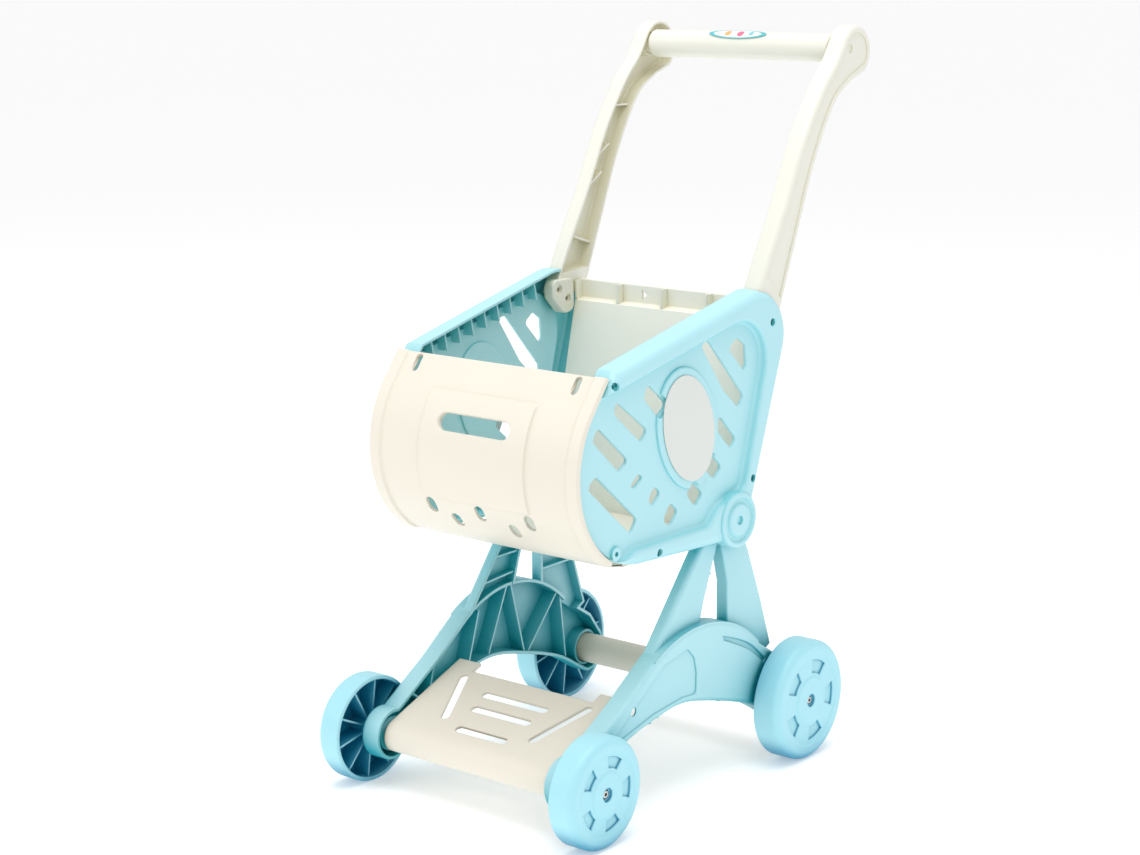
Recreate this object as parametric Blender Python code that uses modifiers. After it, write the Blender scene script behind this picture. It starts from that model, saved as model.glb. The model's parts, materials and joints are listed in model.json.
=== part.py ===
"""Child's toy shopping trolley: two screwed-together plastic sides, a curved front, four free wheels.

Units: the dimensions below are millimetres, and MM turns them into Blender metres.
Frame: +Z up, the trolley faces -Y, its handle is at +Y, X is its width, the wheels stand on Z = 0.
Each side (basket side, leg frame) is a flat assembly on a plane that splays out towards the back.
Points of a side are (along, up); depths are measured outwards from the side's inner plane.
"""
from math import atan, cos, pi, radians, sin

import bmesh
import bpy
from mathutils import Matrix, Vector

MM = 0.001
CLEAR = 60.0                 # how far cutters run past the work
WALL = 2.5                   # moulded wall
GAP = 0.35                   # air between touching pieces
RIB = 1.8                    # thickness of stiffening ribs

# ---- running gear ----
FRONT_AXLE = (-122.0, 40.6)  # (along, up), and the height is also the wheel's radius
REAR_AXLE = (122.0, 46.9)
FRONT_WHEEL_X = (100.5, 121.5)
REAR_WHEEL_X = (108.0, 130.6)
AXLE_R = 3.0
AXLE_BORE_R = 3.6
TUBE_R = 12.0
TUBE_HALF = 101.4
SPOKE_RIBS = 8
WINDOWS = 5
WHEEL_STEPS = 24

# ---- sides ----
SIDE_INNER_X = 84.0          # inner plane of a side where along = 0
SIDE_SPLAY = 0.031           # widening of each side per unit of length
BASKET_C = (-49.0, 258.5)    # centre of the basket's round front
BASKET_R = 71.5              # radius of the side panels' front edge
BASKET_TOP_ANGLE = 37.0      # where the round front turns into its straight lip
SIDE_LIP = 36.0
PANEL_OUT = 19.5             # depth of the basket side's thick rim
WEB_OUT = 13.0               # depth of its thinner web
PANEL_CORNERS = [(-84.4, 330.6, 0), (134.0, 381.6, 36), (68.7, 183.0, 12), (-49.0, 187.0, 0)]
WEB_CORNERS = [(-135, 304.8, 0), (101.7, 358.6, 32), (66, 222, 14), (34, 213, 8), (22, 201, 10),
               (-62, 200, 10), (-85, 190, 0), (-135, 190, 0)]
WEB_SLOTS = [
    [(60.5, 335), (70.5, 328.5), (72, 313), (68.5, 310.5), (50.5, 328)],
    [(17, 335.5), (26, 336.5), (69, 291), (64, 282), (44, 299)],
    [(39.5, 280.5), (60, 260), (55, 252.5), (37.5, 269.5)],
    [(18.5, 263), (43, 241.5), (34.5, 233.5), (11.5, 251.5)],
    [(6, 237.5), (20.5, 225.5), (12, 217), (2.5, 227)],
    [(-45, 315.5), (-21, 297.5), (-32, 289.5), (-48, 305.5)],
    [(-79, 308), (-44.5, 282.5), (-52, 275.5), (-81, 299.5)],
    [(-99, 292.5), (-65.5, 264), (-76.5, 258.5), (-104.5, 284)],
    [(-101, 258.5), (-56, 220.5), (-62.5, 211), (-109.5, 251.5)],
    [(-54, 252.5), (-49.5, 249.5), (-58.5, 243.5), (-63, 245.5)],
    [(-36, 240.5), (-29, 234.5), (-38, 226.5), (-42.5, 231)],
    [(-17.5, 225), (-9, 217.5), (-17, 208), (-25.5, 213)],
]
PANEL_SCREWS = [(96, 343), (74.5, 228), (-37, 193), (-80.5, 200), (-86.5, 320)]
COMB_COUNT = 9
COMB_FIRST = -72.0
COMB_PITCH = 15.5
COMB_DEPTH = 16.0
PLAQUE_C = (0.5, 277.0)
PLAQUE_HALF = (47.0, 34.0)
PLAQUE_RISE = 2.0
PLAQUE_TILT = 70.0
LABEL_HALF = (41.0, 28.5)
HUB = (56.0, 199.5)          # where legs and basket side meet
HUB_R = 21.0
HUB_RISE = 2.0

LEG_OUT = 10.0               # depth of the two upper legs
BODY_OUT = 17.0              # depth of the leg frame's lower body
BOSS_R = 19.5
ARCH_C = (18.0, 22.5)
ARCH_R = 104.0
LEG_LUG_R = 16.5
LEG_CORNERS = [(84.5, 170), (102, 127), (116, 88), (100, 80), (-30, 90), (-37.5, 106.5), (19.5, 178)]
LEG_GAP = [(21, 118, 0), (28.5, 142.5, 0), (46, 188, 3), (56.5, 150, 0), (57, 110, 0)]
UNDERSIDE = [(108, 33.5), (77.5, 50), (28, 65), (-6, 71), (-39, 66.5), (-70, 58.5), (-100, 44)]
ARCH_RIBS = [((-20, 112), (-34, 68)), ((14.5, 124), (-9, 72)), ((20, 124), (37, 64)),
             ((79, 104), (40, 62)), ((84, 100), (91.5, 47))]
FRONT_FIELD = [(-28, 106, 6), (0, 112, 3), (8, 104, 8), (11, 92, 8), (10.5, 75.5, 3), (-6, 76.5, 8),
               (-39, 72.5, 14), (-72, 64, 4), (-96, 54, 3), (-84, 66, 3)]
TRAY_SCREW = (-62.0, 80.0)

# ---- handle ----
ARM_X = (86.8, 101.2)
ARM_FRONT = [(75, 348), (90.5, 379.5), (118.5, 430), (141.5, 476), (166, 512), (184, 531), (197, 550)]
ARM_REAR = [(208, 515), (183.5, 498), (157.5, 454.5), (135.5, 402), (117.5, 357), (114, 348)]
ARM_FOOT = [(70, 346, 5), (70, 360, 6), (96, 360, 6), (97, 334, 6), (84, 332, 8)]
ARM_FOOT_X = (83.6, 92.4)
ARM_HOLLOW_LOW = 363.0
ARM_RIB = ((154.5, 492), (177, 492))
FOOT_SCREWS = [(78.5, 352.0), (89.0, 344.0)]
BULB = (213.0, 537.0)
BULB_R = 20.6
BAR = (204.6, 540.0)
BAR_R = 11.0
BAR_NECK_R = 8.0
BAR_HALF = 84.2
HANDLE_LABEL_HALF = (27.0, 8.0)
HANDLE_LABEL_T = 0.5

# ---- basket front, back and lower tray ----
FRONT_R = 76.0
FRONT_LIP = 28.0
FRONT_HALF = 96.0
FRONT_INSIDE_HALF = 81.0
FRONT_RIM_X = (86.5, 97.2)
FRONT_RIM_LOW = -62.0        # angle below straight ahead where the side rims end
FLOOR_REAR = 61.5
EMBOSS_HALF = 50.0
EMBOSS_ANGLES = (-24.0, 38.0)
BACK_FOOT = (64.0, 183.2)
BACK_KNEE = (99.0, 342.0)
BACK_LEDGE = [(106.0, 343.5), (106.0, 358.0), (108.5, 358.0), (108.5, 341.0)]
BACK_HALF = 85.0
BACK_RIBS_X = (-84.0, -42.5, 0.0, 42.5, 84.0)
BACK_RIB = [(99.2, 342.5), (107.0, 342.5), (107.0, 357.2), (98.6, 357.2)]
TRAY_TILT = 21.0
TRAY_HALF = 79.3
TRAY_ROLL_R = 12.5
TRAY_LENGTH = 83.0
TRAY_NOTCH_HALF = 58.0
TRAY_NOTCH = 11.0

CENTRE_Y = (BULB[0] + BULB_R + FRONT_AXLE[0] - FRONT_AXLE[1]) / 2   # puts the origin under the middle

# ---- materials: name, base colour, roughness, metallic ----
BLUE = ("panel_blue", (0.47, 0.77, 0.84), 0.38, 0.0)
FRAME_BLUE = ("frame_blue", (0.46, 0.76, 0.83), 0.38, 0.0)
WHEEL_BLUE = ("wheel_blue", (0.38, 0.74, 0.83), 0.4, 0.0)
IVORY = ("ivory_plastic", (0.88, 0.84, 0.74), 0.38, 0.0)
HANDLE_IVORY = ("handle_ivory", (0.89, 0.88, 0.81), 0.36, 0.0)
TUBE_GREY = ("tube_ivory", (0.62, 0.62, 0.53), 0.45, 0.0)
STEEL = ("steel", (0.55, 0.56, 0.57), 0.3, 1.0)
LABEL_GREY = ("label_grey", (0.73, 0.75, 0.73), 0.5, 0.0)
LABEL_TEAL = ("label_teal", (0.25, 0.62, 0.66), 0.45, 0.0)


# ---- scene helpers ----
def clear_scene():
    for obj in list(bpy.data.objects):
        bpy.data.objects.remove(obj, do_unlink=True)


def make_collection(name):
    collection = bpy.data.collections.new(name)
    bpy.context.scene.collection.children.link(collection)
    return collection


def material(spec):
    name, colour, roughness, metallic = spec
    mat = bpy.data.materials.get(name)
    if mat is None:
        mat = bpy.data.materials.new(name)
        mat.use_nodes = True
        shader = mat.node_tree.nodes["Principled BSDF"]
        shader.inputs["Base Color"].default_value = (*colour, 1.0)
        shader.inputs["Roughness"].default_value = roughness
        shader.inputs["Metallic"].default_value = metallic
    return mat


def link(name, mesh, spec):
    """Put the mesh in the scene: a part if it has a material, otherwise a cutter."""
    obj = bpy.data.objects.new(name, mesh)
    if spec is None:
        CUTTERS.objects.link(obj)
        obj.hide_render = True
        obj.display_type = "WIRE"
    else:
        PARTS.objects.link(obj)
        mesh.materials.clear()
        mesh.materials.append(material(spec))
    return obj


def boolean(obj, other, operation="DIFFERENCE"):
    mod = obj.modifiers.new(operation.lower(), "BOOLEAN")
    mod.operation = operation
    mod.solver = "EXACT"
    mod.object = other


def smooth(obj, angle=35.0):
    obj.data.shade_smooth()
    obj.data.set_sharp_from_angle(angle=radians(angle))


# ---- outlines: lists of (along, up), mm ----
def arc(centre, radius, start, end, steps):
    points = []
    for i in range(steps + 1):
        a = radians(start + (end - start) * i / steps)
        points.append((centre[0] + radius * cos(a), centre[1] + radius * sin(a)))
    return points


def circle(centre, radius, steps):
    return arc(centre, radius, 0, 360, steps)[:-1]


def oval(centre, half, tilt, steps=20):
    """An ellipse with the two half axes, its long one tilted up from straight back."""
    turn = Matrix.Rotation(-radians(tilt), 2)
    points = []
    for i in range(steps):
        a = 2 * pi * i / steps
        spoke = Vector((half[0] * cos(a), half[1] * sin(a)))
        spoke.rotate(turn)
        points.append(tuple(Vector(centre) + spoke))
    return points


def box_outline(y0, y1, z0, z1):
    return [(y0, z0), (y1, z0), (y1, z1), (y0, z1)]


def capsule(length, width, steps=4):
    """A slot with round ends, centred, its long side along the first axis."""
    half = (length - width) / 2
    return arc((half, 0), width / 2, -90, 90, steps) + arc((-half, 0), width / 2, 90, 270, steps)


def rib_between(start, end, width=RIB):
    """A thin rectangle from start to end."""
    along = (Vector(end) - Vector(start)).normalized()
    across = Vector((-along.y, along.x)) * width / 2
    return [tuple(Vector(p) + s * across) for p, s in ((start, 1), (start, -1), (end, -1), (end, 1))]


def rounded(corners, steps=4):
    """A closed outline whose corners (along, up, radius) are replaced by arcs."""
    points = []
    for i, (y, z, radius) in enumerate(corners):
        here = Vector((y, z))
        if radius <= 0:
            points.append((y, z))
            continue
        before = (Vector(corners[i - 1][:2]) - here).normalized()
        after = (Vector(corners[(i + 1) % len(corners)][:2]) - here).normalized()
        half = before.angle(after) / 2
        centre = here + (before + after).normalized() * radius / sin(half)
        first = here + before * radius * cos(half) / sin(half) - centre
        turn = first.angle_signed(here + after * radius * cos(half) / sin(half) - centre)
        for k in range(steps + 1):
            spoke = first.copy()
            spoke.rotate(Matrix.Rotation(-turn * k / steps, 2))
            points.append(tuple(centre + spoke))
    return points


def curve_through(points, steps=3):
    """Catmull-Rom curve through the points."""
    ends = [points[0]] + list(points) + [points[-1]]
    out = []
    for i in range(1, len(ends) - 2):
        p0, p1, p2, p3 = (Vector(p) for p in ends[i - 1:i + 3])
        for k in range(steps):
            t = k / steps
            linear = (p2 - p0) * t
            square = (2 * p0 - 5 * p1 + 4 * p2 - p3) * t * t
            cubic = (3 * p1 - p0 - 3 * p2 + p3) * t ** 3
            out.append(tuple((2 * p1 + linear + square + cubic) / 2))
    out.append(tuple(points[-1]))
    return out


def inset(outline, distance):
    """The closed outline moved inwards (outwards if negative) by the distance."""
    count = len(outline)
    area = 0.0
    for i, (y, z) in enumerate(outline):
        next_y, next_z = outline[(i + 1) % count]
        area += y * next_z - next_y * z
    sign = 1 if area > 0 else -1
    moved = []
    for i, point in enumerate(outline):
        here = Vector(point)
        before = (here - Vector(outline[i - 1])).normalized()
        after = (Vector(outline[(i + 1) % count]) - here).normalized()
        normal_in = Vector((-before.y, before.x)) * sign
        normal_out = Vector((-after.y, after.x)) * sign
        bisector = (normal_in + normal_out).normalized()
        moved.append(tuple(here + bisector * distance / max(bisector.dot(normal_out), 0.4)))
    return moved


def front_profile(radius, lip, start=-90.0, steps=18):
    """The basket's front: an arc from below, then a straight lip of the given length."""
    line = arc(BASKET_C, radius, 180 - start, 180 - BASKET_TOP_ANGLE, steps)
    y, z = line[-1]
    a = radians(BASKET_TOP_ANGLE)
    line.append((y + lip * sin(a), z + lip * cos(a)))
    return line


# ---- solids ----
def filled_mesh(name, outlines, thickness):
    """Outlines as a filled 2D curve in the XY plane, extruded evenly to both sides."""
    curve = bpy.data.curves.new(name, "CURVE")
    curve.dimensions = "2D"
    curve.fill_mode = "BOTH"
    curve.extrude = thickness / 2 * MM
    for outline in outlines:
        spline = curve.splines.new("POLY")
        spline.points.add(len(outline) - 1)
        for point, (u, v) in zip(spline.points, outline):
            point.co = (u * MM, v * MM, 0, 1)
        spline.use_cyclic_u = True
    temp = bpy.data.objects.new(name, curve)
    bpy.context.scene.collection.objects.link(temp)
    evaluated = temp.evaluated_get(bpy.context.evaluated_depsgraph_get())
    mesh = bpy.data.meshes.new_from_object(evaluated)
    bpy.data.objects.remove(temp)
    bpy.data.curves.remove(curve)
    bm = bmesh.new()
    bm.from_mesh(mesh)
    bmesh.ops.remove_doubles(bm, verts=bm.verts, dist=0.00001)
    bmesh.ops.dissolve_limit(bm, angle_limit=radians(0.5), verts=bm.verts, edges=bm.edges)
    bmesh.ops.recalc_face_normals(bm, faces=bm.faces)
    bm.to_mesh(mesh)
    bm.free()
    return mesh


def prism_mesh(name, outlines, low, high, radius=0.0, segments=3):
    """Outlines in the YZ plane extruded along X from low to high, the edges at high rounded."""
    mesh = filled_mesh(name, outlines, high - low)
    mesh.transform(Matrix(((0, 0, 1, (low + high) / 2 * MM), (1, 0, 0, 0), (0, 1, 0, 0), (0, 0, 0, 1))))
    if radius > 0:
        bm = bmesh.new()
        bm.from_mesh(mesh)
        edges = [e for e in bm.edges if all(abs(v.co.x - high * MM) < 1e-6 for v in e.verts)]
        edges = [e for e in edges if e.calc_face_angle(0) > radians(60)]
        bmesh.ops.bevel(bm, geom=edges, offset=radius * MM, segments=segments, profile=0.5, affect="EDGES",
                        clamp_overlap=True)
        bmesh.ops.recalc_face_normals(bm, faces=bm.faces)
        bm.to_mesh(mesh)
        bm.free()
    return mesh


def mirror_mesh(mesh):
    mesh.transform(Matrix.Scale(-1, 4, (1, 0, 0)))
    mesh.flip_normals()


def side_piece(name, side, outlines, low, high, spec=None, **rounding):
    """A piece of one side: depths run outwards, and its empty turns it onto the splayed plane."""
    mesh = prism_mesh(name, outlines, low, high, **rounding)
    if side < 0:
        mirror_mesh(mesh)
    obj = link(name, mesh, spec)
    obj.parent = SIDES[side]
    return obj


def straight_piece(name, outlines, low, high, spec=None, side=1, **rounding):
    """A piece extruded along X itself, in the trolley's own frame."""
    mesh = prism_mesh(name, outlines, low, high, **rounding)
    if side < 0:
        mirror_mesh(mesh)
    obj = link(name, mesh, spec)
    obj.location = (0, -CENTRE_Y * MM, 0)
    return obj


def slot_cutter(name, place, tilt, turn, length, width, depth):
    """A capsule cutter at (x, along, up): tilt turns it about X, turn about its own axis first."""
    mesh = filled_mesh(name, [capsule(length, width)], depth)
    mesh.transform(Matrix.Rotation(radians(turn), 4, "Z"))
    cutter = link(name, mesh, None)
    cutter.rotation_euler = (radians(tilt), 0, 0)
    cutter.location = (place[0] * MM, (place[1] - CENTRE_Y) * MM, place[2] * MM)
    return cutter


def turned(name, profile, spec, steps, location, closed=True):
    """A profile of (x, radius) turned about the X axis; an open one starts and ends on the axis."""
    mesh = bpy.data.meshes.new(name)
    count = len(profile)
    links = [(i, (i + 1) % count) for i in range(count if closed else count - 1)]
    mesh.from_pydata([(x * MM, 0, r * MM) for x, r in profile], links, [])
    obj = link(name, mesh, spec)
    screw = obj.modifiers.new("turn", "SCREW")
    screw.axis = "X"
    screw.steps = steps
    screw.render_steps = steps
    screw.use_merge_vertices = True
    screw.merge_threshold = 0.00001
    screw.use_smooth_shade = True
    evaluated = obj.evaluated_get(bpy.context.evaluated_depsgraph_get())
    bm = bmesh.new()
    bm.from_mesh(evaluated.to_mesh())
    screw.use_normal_flip = bm.calc_volume(signed=True) < 0
    bm.free()
    evaluated.to_mesh_clear()
    obj.location = Vector(location) * MM
    return obj


def screw(name, facing, place, parent=None, head=(2.7, 1.4), shank=(1.3, 6.0)):
    """A screw with its head's underside at (x, along, up); facing is the sign of its outward X."""
    head_r, head_h = head
    shank_r, shank_len = shank
    profile = [(head_h, 0), (head_h, head_r * 0.8), (0, head_r), (0, shank_r), (-shank_len, shank_r),
               (-shank_len, 0)]
    profile = [(x * facing, r) for x, r in profile]
    x, y, z = place
    if parent is None:
        turned(name, profile, STEEL, 8, (x, y - CENTRE_Y, z), closed=False)
    else:
        turned(name, profile, STEEL, 8, place, closed=False).parent = parent


# ---- shared outlines ----
def panel_outline():
    """Basket side: round front, straight lip, sloping top, big rear corner, rear edge, bottom."""
    return front_profile(BASKET_R, SIDE_LIP) + rounded(PANEL_CORNERS, steps=6)[1:-1]


def arm_outline():
    """Handle arm: a slim curved strip with a round bulb at the top."""
    return curve_through(ARM_FRONT) + arc(BULB, BULB_R, 118, -50, 12) + curve_through(ARM_REAR)


def legs_outline():
    """The two upper legs and the round lug at the hub."""
    return arc(HUB, LEG_LUG_R, 150, -20, 8) + LEG_CORNERS


def body_outline():
    """Lower body of a leg frame: front boss, front leg, arch, rear boss, curved underside."""
    arch = arc(ARCH_C, ARCH_R, 124, 44, 14)
    rear = arc(REAR_AXLE, BOSS_R, 40, -100, 10)
    front = arc(FRONT_AXLE, BOSS_R, -20, -285, 16)
    return [(-72.4, 86.0)] + arch + [(124.0, 76.0)] + rear + curve_through(UNDERSIDE) + front


# ---- pieces ----
def comb_ribs():
    """Short ribs under the basket side's top rim."""
    first, second = PANEL_CORNERS[0], PANEL_CORNERS[1]
    slope = (second[1] - first[1]) / (second[0] - first[0])
    ribs = []
    for i in range(COMB_COUNT):
        y = COMB_FIRST + COMB_PITCH * i
        top = first[1] + slope * (y - first[0])
        ribs.append(rib_between((y + 0.3, top - 1.4), (y + 3.6, top - COMB_DEPTH), 1.6))
    return ribs


def build_side_panel(side, word):
    name = "side_panel_" + word
    outline = panel_outline()
    web = rounded(WEB_CORNERS)
    hub_top = PANEL_OUT + HUB_RISE
    plaque_top = WEB_OUT + PLAQUE_RISE

    panel = side_piece(name, side, [outline], 0, PANEL_OUT, BLUE, radius=7.0, segments=2)
    boolean(panel, side_piece(name + "_web_recess", side, [web], WEB_OUT, CLEAR))
    boolean(panel, side_piece(name + "_hollow", side, [inset(outline, WALL)], -CLEAR, WEB_OUT - WALL))
    rim_hollow = side_piece(name + "_rim_hollow", side, [inset(outline, WALL)], 5, PANEL_OUT - WALL)
    boolean(rim_hollow, side_piece(name + "_web_keep", side, [inset(web, -WALL)], 4, CLEAR))
    boolean(panel, rim_hollow)

    boolean(panel, side_piece(name + "_comb", side, comb_ribs(), 2.5, WEB_OUT - 1.0), "UNION")
    hub = side_piece(name + "_hub", side, [circle(HUB, HUB_R, 24)], LEG_OUT + 0.5, hub_top, radius=1.6,
                     segments=2)
    boolean(panel, hub, "UNION")
    plaque = side_piece(name + "_plaque", side, [oval(PLAQUE_C, PLAQUE_HALF, PLAQUE_TILT)], WEB_OUT - 1.5,
                        plaque_top, radius=1.2, segments=1)
    boolean(panel, plaque, "UNION")
    posts = [circle(p, 5.0, 8) for p in PANEL_SCREWS]
    boolean(panel, side_piece(name + "_posts", side, posts, 6.0, PANEL_OUT - 1.0), "UNION")

    boolean(panel, side_piece(name + "_slots", side, WEB_SLOTS, 5, WEB_OUT + 1))
    ring = [circle(HUB, 17.0, 20), circle(HUB, 12.0, 16)]
    boolean(panel, side_piece(name + "_hub_groove", side, ring, PANEL_OUT - 1.0, CLEAR))
    leg_room = inset(legs_outline(), -0.5)
    boolean(panel, side_piece(name + "_leg_slot", side, [leg_room], -CLEAR, LEG_OUT + 0.4))
    arm_room = inset(arm_outline(), -0.5)
    boolean(panel, straight_piece(name + "_arm_slot", [arm_room], 40, ARM_X[1] + 0.5, side=side))
    holes = [circle(p, 1.8, 6) for p in PANEL_SCREWS + [HUB]]
    boolean(panel, side_piece(name + "_screw_holes", side, holes, -CLEAR, CLEAR))
    sinks = [circle(p, 3.3, 8) for p in PANEL_SCREWS]
    boolean(panel, side_piece(name + "_screw_sinks", side, sinks, PANEL_OUT - 3.4, CLEAR))
    boolean(panel, side_piece(name + "_hub_sink", side, [circle(HUB, 3.4, 8)], PANEL_OUT, CLEAR))
    smooth(panel)


def build_leg_frame(side, word):
    name = "leg_frame_" + word
    body = body_outline()
    legs = legs_outline()
    gap = rounded(LEG_GAP)
    inside = BODY_OUT - 1.0

    frame = side_piece(name, side, [body], 0, BODY_OUT, FRAME_BLUE, radius=3.0, segments=1)
    upper = side_piece(name + "_legs", side, [legs], 0, LEG_OUT, radius=3.0, segments=1)
    boolean(upper, side_piece(name + "_gap", side, [gap], -CLEAR, CLEAR))
    boolean(frame, upper, "UNION")
    boolean(frame, side_piece(name + "_hollow", side, [inset(body, WALL)], -CLEAR, BODY_OUT - WALL))
    leg_hollow = side_piece(name + "_leg_hollow", side, [inset(legs, WALL)], -5, LEG_OUT - WALL)
    boolean(leg_hollow, side_piece(name + "_gap_wall", side, [inset(gap, -WALL)], -6, CLEAR))
    boolean(frame, leg_hollow)

    arch_wall = arc(ARCH_C, ARCH_R, 122, 46, 14) + arc(ARCH_C, ARCH_R - WALL, 46, 122, 14)
    boolean(frame, side_piece(name + "_arch_wall", side, [arch_wall], 0.5, inside), "UNION")
    ribs = [rib_between(start, end) for start, end in ARCH_RIBS]
    boolean(frame, side_piece(name + "_ribs", side, ribs, 1.5, inside), "UNION")
    seat = circle(REAR_AXLE, TUBE_R + 3.0, 16)
    boolean(frame, side_piece(name + "_tube_seat", side, [seat], 4, inside), "UNION")
    boss = side_piece(name + "_front_boss", side, [circle(FRONT_AXLE, 13.0, 16)], 3, BODY_OUT + 1.0,
                      radius=1.0, segments=1)
    boolean(frame, boss, "UNION")
    lug = circle(HUB, 6.0, 16)
    boolean(frame, side_piece(name + "_hub_lug", side, [lug], 0.5, LEG_OUT - 0.5), "UNION")

    field = rounded(FRONT_FIELD)
    boolean(frame, side_piece(name + "_field", side, [field], BODY_OUT - 1.2, CLEAR))
    tube_room = circle(REAR_AXLE, TUBE_R + 0.65, 16)
    boolean(frame, straight_piece(name + "_tube_bore", [tube_room], 40, TUBE_HALF + 1.0, side=side))
    bores = [circle(FRONT_AXLE, AXLE_BORE_R, 12), circle(REAR_AXLE, AXLE_BORE_R, 12)]
    boolean(frame, straight_piece(name + "_axle_bores", bores, 40, 140, side=side))
    holes = [circle(HUB, 1.8, 8), circle(TRAY_SCREW, 1.8, 8)]
    boolean(frame, side_piece(name + "_screw_holes", side, holes, -CLEAR, CLEAR))
    sink = circle(TRAY_SCREW, 3.3, 8)
    boolean(frame, side_piece(name + "_tray_sink", side, [sink], BODY_OUT - 2.8, CLEAR))
    smooth(frame)


def radial_slot(name, x, angle, length, width, upright):
    """A slot cutter through the round front, the angle measured up from straight ahead."""
    a = radians(angle)
    place = (x, BASKET_C[0] - FRONT_R * cos(a), BASKET_C[1] + FRONT_R * sin(a))
    return slot_cutter(name, place, 90 + angle, 90 if upright else 0, length, width, 24)


def build_front_panel():
    name = "front_panel"
    outer = front_profile(FRONT_R, FRONT_LIP)
    inner = front_profile(FRONT_R - WALL, FRONT_LIP)
    panel = straight_piece(name, [outer + inner[::-1]], -FRONT_HALF, FRONT_HALF, IVORY)
    for side, word in ((-1, "left"), (1, "right")):
        corner = box_outline(BASKET_C[0] - 38.0, BASKET_C[0] + 10.0, 170.0, 200.0)
        boolean(panel, straight_piece(name + "_corner_" + word, [corner], FRONT_INSIDE_HALF, 140, side=side))
    floor_z = BASKET_C[1] - FRONT_R
    floor = box_outline(BASKET_C[0] - 6, FLOOR_REAR, floor_z, floor_z + WALL)
    half = FRONT_INSIDE_HALF + 0.4
    boolean(panel, straight_piece(name + "_floor", [floor], -half, half), "UNION")

    rim_outer = front_profile(FRONT_R + 1.5, FRONT_LIP + 0.5, start=FRONT_RIM_LOW)
    rim_inner = front_profile(BASKET_R + 1.4, FRONT_LIP + 0.5, start=FRONT_RIM_LOW)
    for side, word in ((-1, "left"), (1, "right")):
        rim = straight_piece(name + "_rim_" + word, [rim_outer + rim_inner[::-1]], *FRONT_RIM_X, side=side,
                             radius=1.8, segments=2)
        boolean(panel, rim, "UNION")
    low, high = EMBOSS_ANGLES
    emboss = (arc(BASKET_C, FRONT_R + 1.2, 180 - low, 180 - high, 12)
              + arc(BASKET_C, FRONT_R - 1.0, 180 - high, 180 - low, 12))
    boolean(panel, straight_piece(name + "_emboss", [emboss], -EMBOSS_HALF, EMBOSS_HALF), "UNION")

    boolean(panel, radial_slot(name + "_hand_slot", 0, 20.5, 66, 13, False))
    for i, x in enumerate((-46, 0, 46)):
        boolean(panel, radial_slot(name + "_drain_%d" % i, x, -30, 14, 6.5, True))
    for i, x in enumerate((-27, 27)):
        boolean(panel, radial_slot(name + "_low_drain_%d" % i, x, -39, 14, 6.5, True))
    for i, x in enumerate((-74, 74)):
        boolean(panel, radial_slot(name + "_lip_slit_%d" % i, x, 51, 13, 4.2, True))
    smooth(panel)


def build_back_panel():
    """The leaning rear wall of the basket with a ribbed ledge along its top."""
    name = "back_panel"
    foot, knee = Vector(BACK_FOOT), Vector(BACK_KNEE)
    lean = (knee - foot).normalized()
    behind = Vector((lean.y, -lean.x)) * WALL
    sheet = [BACK_FOOT, BACK_KNEE] + BACK_LEDGE + [tuple(knee + behind - lean), tuple(foot + behind)]
    panel = straight_piece(name, [sheet], -BACK_HALF, BACK_HALF, IVORY)
    for i, x in enumerate(BACK_RIBS_X):
        rib = straight_piece(name + "_rib_%d" % i, [BACK_RIB], x - RIB / 2, x + RIB / 2)
        boolean(panel, rib, "UNION")
    smooth(panel)


def build_arm(side, word):
    name = "handle_arm_" + word
    outline = arm_outline()
    outer = ARM_X[1]
    arm = straight_piece(name, [outline], *ARM_X, HANDLE_IVORY, side=side, radius=3.5, segments=2)
    boolean(arm, straight_piece(name + "_foot", [rounded(ARM_FOOT)], *ARM_FOOT_X, side=side), "UNION")
    hollow = [p for p in inset(outline, WALL) if p[1] > ARM_HOLLOW_LOW]
    boolean(arm, straight_piece(name + "_hollow", [hollow], 60, outer - WALL, side=side))
    rib = rib_between(*ARM_RIB)
    boolean(arm, straight_piece(name + "_rib", [rib], ARM_X[0] + 4, outer - 1, side=side), "UNION")
    seat = circle(BAR, 10.5, 20)
    boolean(arm, straight_piece(name + "_seat", [seat], 91.0, outer - 1.0, side=side), "UNION")
    bore = circle(BAR, BAR_NECK_R + GAP, 16)
    boolean(arm, straight_piece(name + "_bar_bore", [bore], 60, 97.4, side=side))
    boolean(arm, straight_piece(name + "_screw_bore", [circle(BAR, 1.8, 8)], 60, 120, side=side))
    boolean(arm, straight_piece(name + "_screw_sink", [circle(BAR, 3.3, 8)], outer - 2.2, 120, side=side))
    foot_holes = [circle(p, 1.8, 8) for p in FOOT_SCREWS]
    boolean(arm, straight_piece(name + "_foot_holes", foot_holes, 60, 91, side=side))
    foot_sinks = [circle(p, 3.3, 8) for p in FOOT_SCREWS]
    boolean(arm, straight_piece(name + "_foot_sinks", foot_sinks, 60, ARM_FOOT_X[0] + 1.5, side=side))
    smooth(arm)


def build_crossbar():
    end = BAR_HALF + 12.8
    half = [(BAR_HALF, BAR_R), (BAR_HALF + 1.0, BAR_R - 0.8), (BAR_HALF + 1.8, BAR_NECK_R),
            (end, BAR_NECK_R), (end, 1.8)]
    profile = [(-x, r) for x, r in half[::-1]] + half
    turned("handle_crossbar", profile, HANDLE_IVORY, 16, (0, BAR[0] - CENTRE_Y, BAR[1]))


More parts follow.
